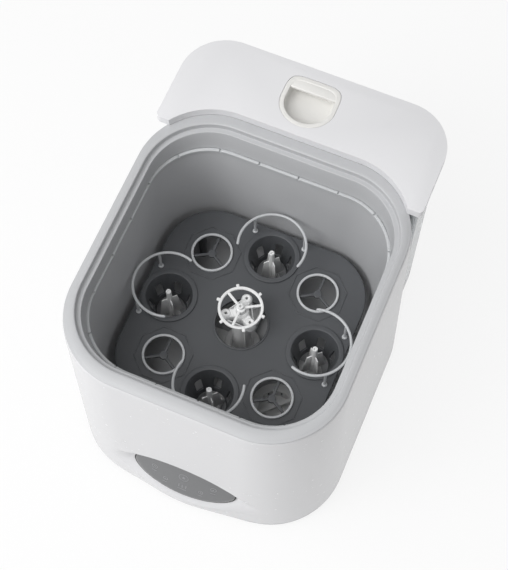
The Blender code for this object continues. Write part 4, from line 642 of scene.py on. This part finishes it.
def make_panel():
    face = [(k / PANEL_RINGS, 0) for k in range(PANEL_RINGS)]
    edge = [(1 - PANEL_EDGE / PANEL_HALF_H, 0), (1, -PANEL_EDGE), (1, -PANEL_T), (0, -PANEL_T)]
    piece("panel_face", on_oval(face + edge), "machine", panel_acrylic, ["control_panel"],
          angle=50.0)
    # A thin black ring round the panel: painted shadow of the glass's edge
    outer = 1 + PANEL_SHADOW_W / PANEL_HALF_H
    line = [(1, -PANEL_T), (outer, -PANEL_T), (outer, -PANEL_EDGE), (1, -PANEL_EDGE)]
    piece("panel_edge_shadow_ring", on_oval(line, closed=True), "machine", panel_edge_painted_shadow)
    marks = []
    for u, v, size in ((-0.034, 0.004, 0.0034), (-0.020, -0.008, 0.0028), (0.0, 0.007, 0.0056),
                       (0.021, -0.008, 0.0028), (0.034, 0.004, 0.0034)):
        marks.append(flat_mark("ring", u, v, size))
    for u, v, size in ((-0.034, 0.004, 0.0011), (-0.0200, -0.0085, 0.0009), (0.0, 0.0065, 0.0018),
                       (0.0210, -0.0085, 0.0009), (0.034, 0.0035, 0.0011)):
        marks.append(flat_mark("drop", u, v, size))
    for k in range(3):
        marks.append(flat_mark("post", -0.004 + 0.004 * k, -0.009, 0.0052, 0.0011))
    for side in (-1, 1):
        marks.append(flat_mark("bar", side * 0.034, -0.0032, 0.0060))
        marks.append(flat_mark("bar", side * 0.0205, -0.0138, 0.0048))
    marks.append(flat_mark("bar", 0.0, -0.0145, 0.0100))
    piece("panel_marks", together(*marks), "machine", panel_ink)


# Rim frame, seal and tub

def ring_walk(half_x, half_y, radius, spacing):
    """Places and headings a spacing apart along a rounded rectangle round the tub's axis."""
    straight_x, straight_y, arc = half_x - radius, half_y - radius, pi / 2 * radius
    total = 4 * (straight_x + straight_y + arc)
    count = round(total / spacing)
    for k in range(count):
        distance = (k + 0.5) * total / count
        for side in range(4):
            along, out = (straight_y, half_x) if side % 2 == 0 else (straight_x, half_y)
            other = straight_x if side % 2 == 0 else straight_y
            if distance < 2 * along:
                x, y, heading = out, distance - along, 0.0
            elif distance < 2 * along + arc:
                heading = (distance - 2 * along) / radius
                x, y = other + radius * cos(heading), along + radius * sin(heading)
            else:
                distance -= 2 * along + arc
                continue
            turn = side * pi / 2
            yield (x * cos(turn) - y * sin(turn), x * sin(turn) + y * cos(turn), turn + heading)
            break


def make_rim():
    bm = ring_stack(eased(RIM_SECTION, closed=True), closed=True)
    piece("rim_ring", bm, "machine", rim_abs, ["rim_frame"])
    half_x, half_y, radius, low, _ = SEAL_SECTION[0]
    high = SEAL_SECTION[-1][3]
    notches = []
    for x, y, heading in ring_walk(half_x, half_y, radius, SEAL_NOTCH_APART):
        notches.append(bar(2 * SEAL_NOTCH_L, SEAL_NOTCH_W, high - SEAL_NOTCH_DEEP, high + OVER, (x, y),
                           heading * 180 / pi))
    seal = carved(ring_stack(eased(SEAL_SECTION, closed=True), closed=True), together(*notches))
    piece("mouth_seal", seal, "machine", seal_silicone, ["lip_seal"])


def make_tub():
    bm = ring_stack(eased(TUB_SECTION, 5))
    bm = carved(bm, rod((0.060, -0.050, 0.07), (0.060, -0.050, 0.085), 0.022, steps=ROUND),
                rod((0, 0, 0.07), (0, 0, 0.085), 0.0065))
    piece("tub_pan", bm, "machine", tub_polypropylene, ["wash_tub"])


# Spray column

def make_manifold():
    low, high = MANIFOLD_Z
    parts = [turned(eased(((0, low, 0), (HUB_R, low, 0.0004), (HUB_R, high, 0.0020), (0, high, 0))))]
    for quarter, place in zip((0, 90, 180, 270), PLACES):
        middle = polar((PLACE_R + ARM_START) / 2, quarter)
        parts.append(bar(PLACE_R - ARM_START, 2 * ARM_HALF_W, low + 0.0001, high - 0.0006, middle, quarter, 0.0018))
        parts.append(turned(eased(((0, low, 0), (SOCKET_R, low, 0.0004), (SOCKET_R, high - 0.0002, 0.0014),
                                   (0, high - 0.0002, 0))), place, SMALL_ROUND))
    piece("spray_manifold", together(*parts), "machine", spray_polypropylene,
          ["water_manifold"])


def make_tower():
    low, shoulder, top = TOWER_Z
    profile = ((0.0016, low, 0), (0.0125, low, 0.0006), (0.0125, low + 0.003, 0.0008),
               (0.0105, low + 0.006, 0.0030), (0.0078, shoulder - 0.004, 0.0010), (0.0086, shoulder - 0.003, 0.0005),
               (0.0086, shoulder, 0.0005), (0.0030, shoulder, 0.0004), (0.0030, top, 0.0008), (0.0016, top, 0))
    parts = [turned(eased(profile, closed=True), closed=True)]
    for k in range(4):
        rib = block((0.0075, -0.0008, low + 0.002), (0.0118, 0.0008, shoulder - 0.004), 0.0005)
        for v in rib.verts:
            v.co.x -= 0.0030 * (v.co.z - low) / (shoulder - low)
        parts.append(set_down(rib, (0, 0), 45 + 90 * k))
    piece("spray_tower_tube", together(*parts), "machine", spray_polypropylene, ["spray_tower"])


def make_rotor():
    low, high = ROTOR_Z
    hub = turned(eased(((0, low, 0), (ROTOR_HUB_R, low, 0.0005), (ROTOR_HUB_R, high - 0.003, 0.0020),
                        (0.0070, high, 0.0015), (0, high, 0))))
    parts = [hub]
    jets = []
    for k in range(3):
        turn = 90 + 120 * k
        place = polar(LOBE_AT, turn)
        lobe = eased(((0, low + 0.001, 0), (LOBE_R, low + 0.001, 0.0006), (LOBE_R, high - 0.0040, 0.0012),
                      (0.0040, high - 0.0014, 0.0010), (0.0030, high - 0.0014, 0.0004), (0.0, high - 0.0018, 0)))
        parts.append(turned(lobe, place, SMALL_ROUND))
        arm = block((0.002, -0.0050, low + 0.002), (LOBE_AT, 0.0050, high - 0.0030), 0.0016)
        parts.append(set_down(arm, (0, 0), turn))
        jets.append(rod((*place, low - OVER), (*place, high + OVER), LOBE_JET_R, steps=16))
        reach = LOBE_AT * cos(radians(60)) + LOBE_R - RIB_T
        span = 2 * LOBE_AT * sin(radians(60))
        rib = block((reach - RIB_T, -span / 2, low + 0.0015), (reach, span / 2, low + 0.0060), 0.0004)
        parts.append(set_down(rib, (0, 0), turn + 60))
    jets.append(rod((0, 0, low - OVER), (0, 0, high + OVER), 0.0036))
    rotor = carved(parts[0], *parts[1:], operation="UNION")
    rotor = carved(rotor, *jets)
    piece("rotor_spray_head", rotor, "rotor", spray_polypropylene, ["spray_rotor"])


def make_crown():
    half = CROWN_WIRE / 2
    ring = eased(((CROWN_R - half, CROWN_Z - half, 0.0008), (CROWN_R + half, CROWN_Z - half, 0.0008),
                  (CROWN_R + half, CROWN_Z + half, 0.0008), (CROWN_R - half, CROWN_Z + half, 0.0008)), closed=True)
    parts = [turned(ring, closed=True, steps=96)]
    hub_low, hub_high = CROWN_HUB_Z
    parts.append(turned(eased(((0, hub_low, 0), (CROWN_HUB_R, hub_low, 0.0005), (CROWN_HUB_R, hub_high - 0.0004, 0.0012),
                               (0, hub_high, 0)))))
    for k in range(3):
        turn = 30 + 120 * k
        spoke = block((CROWN_HUB_R - 0.001, -SPOKE_W / 2, CROWN_Z - 0.0011), (CROWN_R, SPOKE_W / 2, CROWN_Z + 0.0012), 0.0006)
        parts.append(set_down(spoke, (0, 0), turn))
    for k in range(6):
        nub = block((CROWN_R, -NUB_W / 2, CROWN_Z - 0.0012), (NUB_OUT, NUB_W / 2, CROWN_Z + 0.0012), 0.0008)
        parts.append(set_down(nub, (0, 0), 60 * k))
    piece("crown_wheel", together(*parts), "machine", spray_polypropylene, ["spray_crown"])


def make_jets():
    for i, place in enumerate(PLACES):
        parts = [turned(eased(JET_SECTION), place, SMALL_ROUND)]
        for turn in (45, 135):
            fin = bar(2 * JET_FIN_R, JET_FIN_T, *JET_FIN_Z, place, turn, 0.0005)
            for v in fin.verts:
                if v.co.z > JET_FIN_Z[1] - 0.002:
                    v.co.x += FIN_LEAN_SHARE * (place[0] - v.co.x)
                    v.co.y += FIN_LEAN_SHARE * (TUB_Y + place[1] - v.co.y)
            parts.append(fin)
        piece(f"jet_pipe_{i + 1}", together(*parts), "machine", spray_polypropylene,
              [f"bottle_jet_{i + 1}"])


# Bottle rack

def make_deck():
    half_x, half_y, radius = DECK_SIZE
    skirt = DECK_SKIRT_T
    sections = [(half_x - skirt, half_y - skirt, radius - skirt, DECK_Z - DECK_T, 0),
                (half_x - skirt, half_y - skirt, radius - skirt, DECK_SKIRT_Z, 0.0004),
                (half_x, half_y, radius, DECK_SKIRT_Z, 0.0006), (half_x, half_y, radius, DECK_Z, 0.0012),
                (half_x - 0.004, half_y - 0.004, radius - 0.004, DECK_Z, 0)]
    bm = ring_stack(eased(sections))
    cutters = [rod((0, 0, 0.13), (0, 0, 0.16), DECK_CENTRE_R, steps=96)]
    for place in PLACES:
        cutters.append(rod((*place, 0.13), (*place, 0.16), DECK_BOTTLE_R + 0.0001, steps=ROUND))
    for place in CORNERS:
        cutters.append(rod((*place, 0.13), (*place, 0.16), CORNER_HOLE_R, steps=ROUND))
    deck = carved(bm, together(*cutters))
    parts = [deck]
    for i, place in enumerate(CORNERS):
        hub = eased(((0, DECK_Z - DECK_T, 0), (0.0045, DECK_Z - DECK_T, 0.0004), (0.0045, DECK_Z - 0.0004, 0.0008),
                     (0, DECK_Z - 0.0004, 0)))
        parts.append(turned(hub, place, SMALL_ROUND))
        for k in range(3):
            spoke = block((0.003, -CORNER_BAR_W / 2, DECK_Z - DECK_T), (CORNER_HOLE_R + 0.0006, CORNER_BAR_W / 2,
                                                                     DECK_Z - 0.0005), 0.0006)
            parts.append(set_down(spoke, place, 90 + 120 * k))
        side = OCTAGON_R * sin(radians(22.5))
        for k in range(8):
            rib = block((OCTAGON_R * cos(radians(22.5)) - OCTAGON_RIB, -side, DECK_Z - 0.0005),
                        (OCTAGON_R * cos(radians(22.5)), side, DECK_Z + OCTAGON_H), 0.0003, 2)
            parts.append(set_down(rib, place, 45 * k))
    legs = [(sx * LEG_X, sy * LEG_Y) for sx in (-1, 1) for sy in (-1, 1)]
    for place in legs:
        leg = eased(((0, TUB_FLOOR_Z + GAP, 0), (LEG_R, TUB_FLOOR_Z + GAP, 0.0012), (LEG_R, DECK_Z - 0.001, 0),
                     (0, DECK_Z - 0.001, 0)))
        parts.append(turned(leg, place, SMALL_ROUND))
    rim = eased(((DECK_CENTRE_R, DECK_Z - DECK_T, 0.0003), (DECK_CENTRE_R + 0.0022, DECK_Z - DECK_T, 0.0003),
                 (DECK_CENTRE_R + 0.0022, DECK_Z + 0.0012, 0.0006), (DECK_CENTRE_R, DECK_Z + 0.0012, 0.0006)), closed=True)
    parts.append(turned(rim, steps=96, closed=True))
    piece("rack_deck", together(*parts), "rack", rack_polypropylene, ["bottle_rack"])


def make_cups():
    cup = turned(eased(CUP_SECTION, closed=True), closed=True)
    slots = []
    for k in range(3):
        low, high = CUP_SLOT_Z
        slots.append(bar(0.070, CUP_SLOT_W, low, high, (0, 0), 30 + 60 * k, 0.0020))
    cup = carved(cup, *slots)
    for i, place in enumerate(PLACES):
        piece(f"cup_funnel_{i + 1}", set_down(copied(cup), place), "rack", rack_polypropylene,
              [f"bottle_cup_{i + 1}"])
    cup.free()


def make_hoops():
    for i, place in enumerate(PLACES):
        bm = bmesh.new()
        bmesh.ops.create_circle(bm, cap_ends=True, segments=16, radius=WIRE_R)
        bmesh.ops.rotate(bm, matrix=Matrix.Rotation(pi / 2, 3, "X"), verts=bm.verts)
        bmesh.ops.translate(bm, vec=at(HOOP_R, 0, HOOP_Z), verts=bm.verts)
        bmesh.ops.spin(bm, geom=bm.verts[:] + bm.edges[:] + bm.faces[:], cent=at(0, 0), axis=(0, 0, 1),
                       angle=radians(2 * HOOP_SWEEP), steps=72)
        bmesh.ops.recalc_face_normals(bm, faces=bm.faces)
        ends = edges_where(bm, lambda p: True, 60.0)
        rounded_off(bm, ends, WIRE_R * 0.9, 4)
        set_down(bm, (0, 0), -HOOP_SWEEP)
        parts = [bm]
        for side in (-1, 1):
            foot = polar(HOOP_R, side * HOOP_STEM)
            parts.append(rod((*foot, DECK_Z + GAP), (*foot, HOOP_Z), WIRE_R, steps=16))
            collar = eased(((0, DECK_Z + GAP, 0), (0.0030, DECK_Z + GAP, 0.0002), (0.0026, DECK_Z + 0.0020, 0.0006),
                            (0, DECK_Z + 0.0020, 0)))
            parts.append(turned(collar, foot, SMALL_ROUND))
        piece(f"hoop_wire_{i + 1}", set_down(together(*parts), place, 90 * i), "rack", hoop_acetal,
              [f"bottle_hoop_{i + 1}"])


def make_corner_rings():
    inner, outer, low, high = CORNER_RING
    section = eased(((inner, low, 0.0003), (outer, low, 0.0003), (outer, high, 0.0009), (inner, high, 0.0009)),
                    closed=True)
    for i, place in enumerate(CORNERS):
        piece(f"corner_hoop_{i + 1}", turned(section, place, closed=True), "rack", hoop_acetal,
              [f"corner_ring_{i + 1}"])


# Water tank

def tank_block(half_x, front, rear, front_r, rear_r, low, high, inset=0.0):
    """A block with two round rear corners and two slightly eased front ones."""
    bm = block((-half_x + inset, front + inset, low), (half_x - inset, rear - inset, high))
    bm.edges.ensure_lookup_table()
    upright = [e for e in bm.edges if abs(e.verts[0].co.z - e.verts[1].co.z) > OVER]
    for test, radius in ((lambda y: y > (front + rear) / 2, rear_r - inset), (lambda y: True, front_r)):
        chosen = [e for e in upright if e.is_valid and test(e.verts[0].co.y - TUB_Y)]
        bmesh.ops.bevel(bm, geom=chosen, offset=radius, offset_type="OFFSET", affect="EDGES",
                        segments=CORNER_STEPS if radius > 0.02 else 6, profile=0.5, material=-1)
        upright = [e for e in upright if e.is_valid and not test(e.verts[0].co.y - TUB_Y)]
    return bm


def hug_block(half_x, half_y, radius, low, high, grow=0.0):
    return ring_stack([(half_x + grow, half_y + grow, radius + grow, z) for z in (low, high)])


def grip_face(inset=0.0, steps=20):
    """A flat face in the grip's outline: half an oval in front, square with round corners behind."""
    bm = bmesh.new()
    bmesh.ops.create_circle(bm, cap_ends=True, segments=72, radius=1)
    half, front, rear = GRIP_HALF_X - inset, GRIP_FRONT - inset, GRIP_REAR - inset
    for v in bm.verts:
        x, y = v.co.x, v.co.y
        if y > 0:
            x, y = copysign(abs(x) ** 0.42, x), y ** 0.42
        v.co = at(GRIP_X + x * half, GRIP_Y + y * (rear if y > 0 else front), 0)
    return bm


def grip_prism(low, high, inset=0.0):
    bm = grip_face(inset)
    made = bmesh.ops.extrude_face_region(bm, geom=bm.faces[:])
    verts = [g for g in made["geom"] if isinstance(g, bmesh.types.BMVert)]
    bmesh.ops.translate(bm, vec=(0, 0, high), verts=verts)
    rest = [v for v in bm.verts if v not in set(verts)]
    bmesh.ops.translate(bm, vec=(0, 0, low), verts=rest)
    return bm


def make_cover():
    low, high = COVER_BLOCK[5:]
    bm = carved(tank_block(*COVER_BLOCK), hug_block(*COVER_HUG, low - OVER, high + OVER))
    top_edges = edges_where(bm, lambda p: p.z > high - 1e-5, 60.0)
    rounded_off(bm, top_edges, 0.0014, 4)
    inner = tank_block(*COVER_BLOCK[:5], low - OVER, high - COVER_WALL, inset=COVER_WALL)
    inner = carved(inner, hug_block(*COVER_HUG, low - 2 * OVER, high + OVER, COVER_WALL))
    bm = carved(bm, inner)
    bm = carved(bm, grip_prism(high - GRIP_FLANGE_T - GAP, high + OVER, -GAP),
                grip_prism(low - OVER, high + OVER, GRIP_FLANGE - GAP))
    piece("cover_plate", bm, "cover", cover_polycarbonate, ["tank_cover"])
    rib_size = (BODY_BLOCK[0] - 0.0028, BODY_BLOCK[1] + 0.010, BODY_BLOCK[2] - 0.0028, 0.003, BODY_BLOCK[4] - 0.0028)
    rib_low, rib_high = high - COVER_WALL - 0.004, high - COVER_WALL + 0.0002
    outer = carved(tank_block(*rib_size, rib_low, rib_high), hug_block(*BODY_HUG, rib_low - OVER, rib_high + OVER, 0.0028))
    inner = carved(tank_block(*rib_size, rib_low - OVER, rib_high + OVER, inset=0.0015),
                   hug_block(*BODY_HUG, rib_low - 2 * OVER, rib_high + 2 * OVER, 0.0043))
    rib = carved(outer, inner, grip_prism(rib_low - OVER, rib_high + OVER, GRIP_FLANGE - GAP))
    piece("cover_fit_rib", rib, "cover", cover_polycarbonate)


def make_grip():
    high = COVER_BLOCK[6]
    flange = grip_prism(high - GRIP_FLANGE_T, high)
    rounded_off(flange, edges_where(flange, lambda p: p.z > high - 1e-5, 60.0), 0.0006, 3)
    well = grip_prism(GRIP_FLOOR_Z, high - 0.0006, GRIP_FLANGE)
    rounded_off(well, edges_where(well, lambda p: p.z < GRIP_FLOOR_Z + 1e-5, 60.0), 0.0050, 5)
    hollow = grip_prism(GRIP_FLOOR_Z + GRIP_WALL, high + OVER, GRIP_FLANGE + GRIP_WALL)
    rounded_off(hollow, edges_where(hollow, lambda p: p.z < GRIP_FLOOR_Z + GRIP_WALL + 1e-5, 60.0), 0.0040, 5)
    body = carved(carved(flange, well, operation="UNION"), hollow)
    rounded_off(body, edges_where(body, lambda p: p.z > high - 1e-5, 60.0), 0.0008, 3)
    half = GRIP_HALF_X - GRIP_FLANGE - GRIP_WALL / 2
    grab = block((GRIP_X - half, BAR_Y[0], BAR_Z[0]), (GRIP_X + half, BAR_Y[1], BAR_Z[1]), 0.0012)
    piece("grip_insert", together(body, grab), "cover", grip_abs, ["tank_handle"])


def make_tank():
    low, high = BODY_BLOCK[5:]
    outer = carved(tank_block(*BODY_BLOCK), hug_block(*BODY_HUG, low - OVER, high + OVER))
    rounded_off(outer, edges_where(outer, lambda p: p.z < low + 1e-5, 60.0), 0.0016, 3)
    inner = carved(tank_block(*BODY_BLOCK[:5], low + COVER_WALL, high + OVER, inset=COVER_WALL),
                   hug_block(*BODY_HUG, low, high + 2 * OVER, COVER_WALL))
    tank = carved(outer, inner, rod((0.045, 0.190, low - OVER), (0.045, 0.190, low + 0.006), 0.0055))
    piece("tank_shell", tank, "tank", tank_san, ["tank_body"])


def make_shelf():
    low, high = SHELF_Z
    size = BODY_BLOCK[:5]
    outer = carved(tank_block(*size, low, high), hug_block(*BODY_HUG, low - OVER, high + OVER))
    rounded_off(outer, edges_where(outer, lambda p: p.z > high - 1e-5, 60.0), 0.0010, 3)
    inner = carved(tank_block(*size, low - OVER, high - 0.003, inset=0.003),
                   hug_block(*BODY_HUG, low - 2 * OVER, high + OVER, 0.003))
    shelf = carved(outer, inner, rod((0.045, 0.190, high - 0.006), (0.045, 0.190, high + OVER), 0.0065),
                   rod((SPIGOT_X, 0.210, SPIGOT_Z), (SPIGOT_X, 0.230, SPIGOT_Z), 0.0068))
    dock = turned(eased(((0, low + 0.003, 0), (0.0130, low + 0.003, 0.0006), (0.0130, 0.0285, 0.0006),
                         (0.0160, 0.0285, 0.0006), (0.0160, low, 0.0003), (0, low, 0))), (0.045, 0.190), SMALL_ROUND)
    piece("tank_ledge", together(shelf, dock), "machine", shell_abs, ["tank_shelf"])
    spigot = turned(eased(((0.0045, 0, 0.0003), (0.0065, 0, 0.0006), (0.0065, 0.0085, 0.0003), (0.0090, 0.0085, 0.0005),
                           (0.0090, 0.0107, 0.0005), (0.0065, 0.0107, 0.0003), (0.0058, 0.0150, 0.0004),
                           (0.0062, 0.0152, 0.0003), (0.0056, 0.0178, 0.0006), (0.0045, 0.0178, 0.0004)), closed=True),
                    steps=SMALL_ROUND, closed=True)
    turn = Matrix.Translation(at(SPIGOT_X, 0.2102, SPIGOT_Z)) @ Matrix.Rotation(-pi / 2, 4, "X")
    bmesh.ops.transform(spigot, matrix=turn @ Matrix.Translation(-at(0, 0)), verts=spigot.verts)
    piece("waste_spigot", spigot, "machine", case_polypropylene, ["drain_spigot"])


# Base and side fittings

def make_base():
    low, high = TRAY_Z
    front = ring_stack([(*shell_size(SHELL_BASE[3], 0.0009), low), (*shell_size(SHELL_BASE[3], 0.0005), low + 0.0008),
                        (*shell_size(SHELL_BASE[3], 0.0005), high)], front_steps=FRONT_STEPS)
    for v in front.verts:
        if v.co.y - TUB_Y < 0:
            v.co.y -= chin(v.co.x, SHELL_BASE[3])
    rear = tank_block(BODY_BLOCK[0], 0.10, BODY_BLOCK[2], 0.002, BODY_BLOCK[4], low, high, inset=0.0005)
    tray = carved(front, rear, operation="UNION")
    screws = [rod((sx * 0.120, sy * 0.131, low - OVER), (sx * 0.120, sy * 0.131, low + 0.0018), 0.0043, steps=24)
              for sx in (-1, 1) for sy in (-1, 1)]
    tray = carved(tray, *screws)
    piece("tray_plate", tray, "machine", case_polypropylene, ["base_tray"])
    for i, place in enumerate(FOOT_PLACES):
        foot = eased(((0, 0, 0), (0.011, 0, 0.0008), (0.0118, 0.0015, 0.0008), (0.0120, 0.0057, 0.0003),
                      (0, 0.0057, 0)))
        piece(f"rubber_foot_{i + 1}", turned(foot, place, SMALL_ROUND), "machine", foot_rubber,
              [f"foot_{i + 1}"])


def make_side_fittings():
    y, z, width, height = AIR_DOOR
    door = wall_block(y, z, width, height, 0, SHELL_WALL)
    outer_x = -shell_size(z)[0]
    rounded_off(door, edges_where(door, lambda p: p.x < outer_x + 0.001, 60.0), 0.0006, 3)
    step = height / (AIR_SLOTS + 1)
    slots = []
    for k in range(AIR_SLOTS):
        slots.append(wall_block(y, z - height / 2 + step * (k + 1), width - 2 * step, 0.0026, OVER, SHELL_WALL + OVER))
    door = carved(door, together(*slots))
    piece("door_grille", door, "side_door", shell_abs, ["air_door"])


# Carried-over solids that stay inside or under the machine

def finish_solids():
    finishes = {
        case_polypropylene: ("wash_pump_case", "drain_pump_case", "sump_cup", "air_duct", "fan_wheel"),
        plated_steel: ("wash_pump_motor", "drain_pump_motor", "steam_heater", "base_screw_1", "base_screw_2",
                       "base_screw_3", "base_screw_4"),
        black_nylon: ("fan_case", "power_inlet"),
        board_mask: ("control_board", "power_board"),
        hose_silicone: ("fill_tube", "drain_hose"),
        spray_polypropylene: ("wash_impeller", "drain_impeller", "tank_valve", "sump_filter"),
        pad_fibre: ("air_filter",),
    }
    for material, names in finishes.items():
        for name in names:
            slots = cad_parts[name].data.materials
            slots.clear()
            slots.append(material)


# Floor, light and camera

def make_stage():
    bm = bmesh.new()
    bmesh.ops.create_circle(bm, cap_ends=True, segments=96, radius=4.0)
    mesh = bpy.data.meshes.new("studio_floor")
    bm.to_mesh(mesh)
    bm.free()
    floor = bpy.data.objects.new("studio_floor", mesh)
    bpy.context.scene.collection.objects.link(floor)
    material = bpy.data.materials.new("white_paper")
    material.use_nodes = True
    tree = material.node_tree
    tree.nodes.clear()
    rays = add_node(tree, "ShaderNodeLightPath")
    place = add_node(tree, "ShaderNodeTexCoord").outputs["Object"]
    fibre = add_node(tree, "ShaderNodeTexNoise", values={"Scale": per_mm(3.0)}, links={"Vector": place})
    tone = add_node(tree, "ShaderNodeMix", {"data_type": "RGBA"}, {6: linear("F2F2F2"), 7: linear("EEEEEE")},
                    {0: fibre.outputs["Fac"]})
    paper = add_node(tree, "ShaderNodeBsdfDiffuse", links={"Color": tone.outputs[2]})
    white = add_node(tree, "ShaderNodeEmission", values={"Color": (1, 1, 1, 1), "Strength": 1.0})
    seen = add_node(tree, "ShaderNodeMath", {"operation": "MAXIMUM"}, links={0: rays.outputs["Is Camera Ray"],
                                                                        1: rays.outputs["Is Glossy Ray"]})
    seen = add_node(tree, "ShaderNodeMath", {"operation": "MAXIMUM"}, links={0: seen.outputs[0],
                                                                        1: rays.outputs["Is Transmission Ray"]})
    share = add_node(tree, "ShaderNodeMath", {"operation": "MULTIPLY"}, {1: 0.86}, {0: seen.outputs[0]})
    mixed = add_node(tree, "ShaderNodeMixShader", links={0: share.outputs[0], 1: paper.outputs[0],
                                                         2: white.outputs[0]})
    add_node(tree, "ShaderNodeOutputMaterial", links={"Surface": mixed.outputs[0]})
    mesh.materials.append(material)

    world = bpy.data.worlds.new("studio")
    bpy.context.scene.world = world
    world.use_nodes = True
    tree = world.node_tree
    tree.nodes.clear()
    rays = add_node(tree, "ShaderNodeLightPath")
    room = add_node(tree, "ShaderNodeBackground", values={"Color": (1, 1, 1, 1), "Strength": 0.42})
    white = add_node(tree, "ShaderNodeBackground", values={"Color": (1, 1, 1, 1), "Strength": 1.0})
    mixed = add_node(tree, "ShaderNodeMixShader", links={0: rays.outputs["Is Camera Ray"], 1: room.outputs[0],
                                                         2: white.outputs[0]})
    add_node(tree, "ShaderNodeOutputWorld", links={"Surface": mixed.outputs[0]})


def add_lamp(name, place, target, size, power):
    light = bpy.data.lights.new(name, "AREA")
    light.shape = "DISK"
    light.size = size
    light.energy = power
    lamp = bpy.data.objects.new(name, light)
    lamp.location = place
    lamp.rotation_euler = (Vector(place) - Vector(target)).to_track_quat("Z", "Y").to_euler()
    bpy.context.scene.collection.objects.link(lamp)


def make_camera():
    turn, height, roll = radians(23.5), radians(66.9), radians(-0.61)
    back = Vector((sin(turn) * cos(height), -cos(turn) * cos(height), sin(height)))
    right = Vector((cos(turn), sin(turn), 0))
    up = back.cross(right)
    side, top = right * cos(roll) + up * sin(roll), up * cos(roll) - right * sin(roll)
    data = bpy.data.cameras.new("camera")
    data.lens = 1350 / 570 * 36
    camera = bpy.data.objects.new("camera", data)
    camera.matrix_world = Matrix.Translation((0.2192, -0.4976, 1.4644)) @ Matrix((side, top, back)).transposed().to_4x4()
    bpy.context.scene.collection.objects.link(camera)
    bpy.context.scene.camera = camera


make_shell()
make_panel()
make_rim()
make_tub()
make_manifold()
make_tower()
make_rotor()
make_crown()
make_jets()
make_deck()
make_cups()
make_hoops()
make_corner_rings()
make_cover()
make_grip()
make_tank()
make_shelf()
make_base()
make_side_fittings()
finish_solids()
make_stage()
add_lamp("high_soft_light", (-0.5, -0.7, 1.9), (0, 0, 0.15), 1.4, 19)
add_lamp("front_left_light", (-1.1, -1.3, 1.6), (0, 0, 0.15), 1.2, 15)
make_camera()
bpy.context.scene.view_settings.view_transform = "Standard"
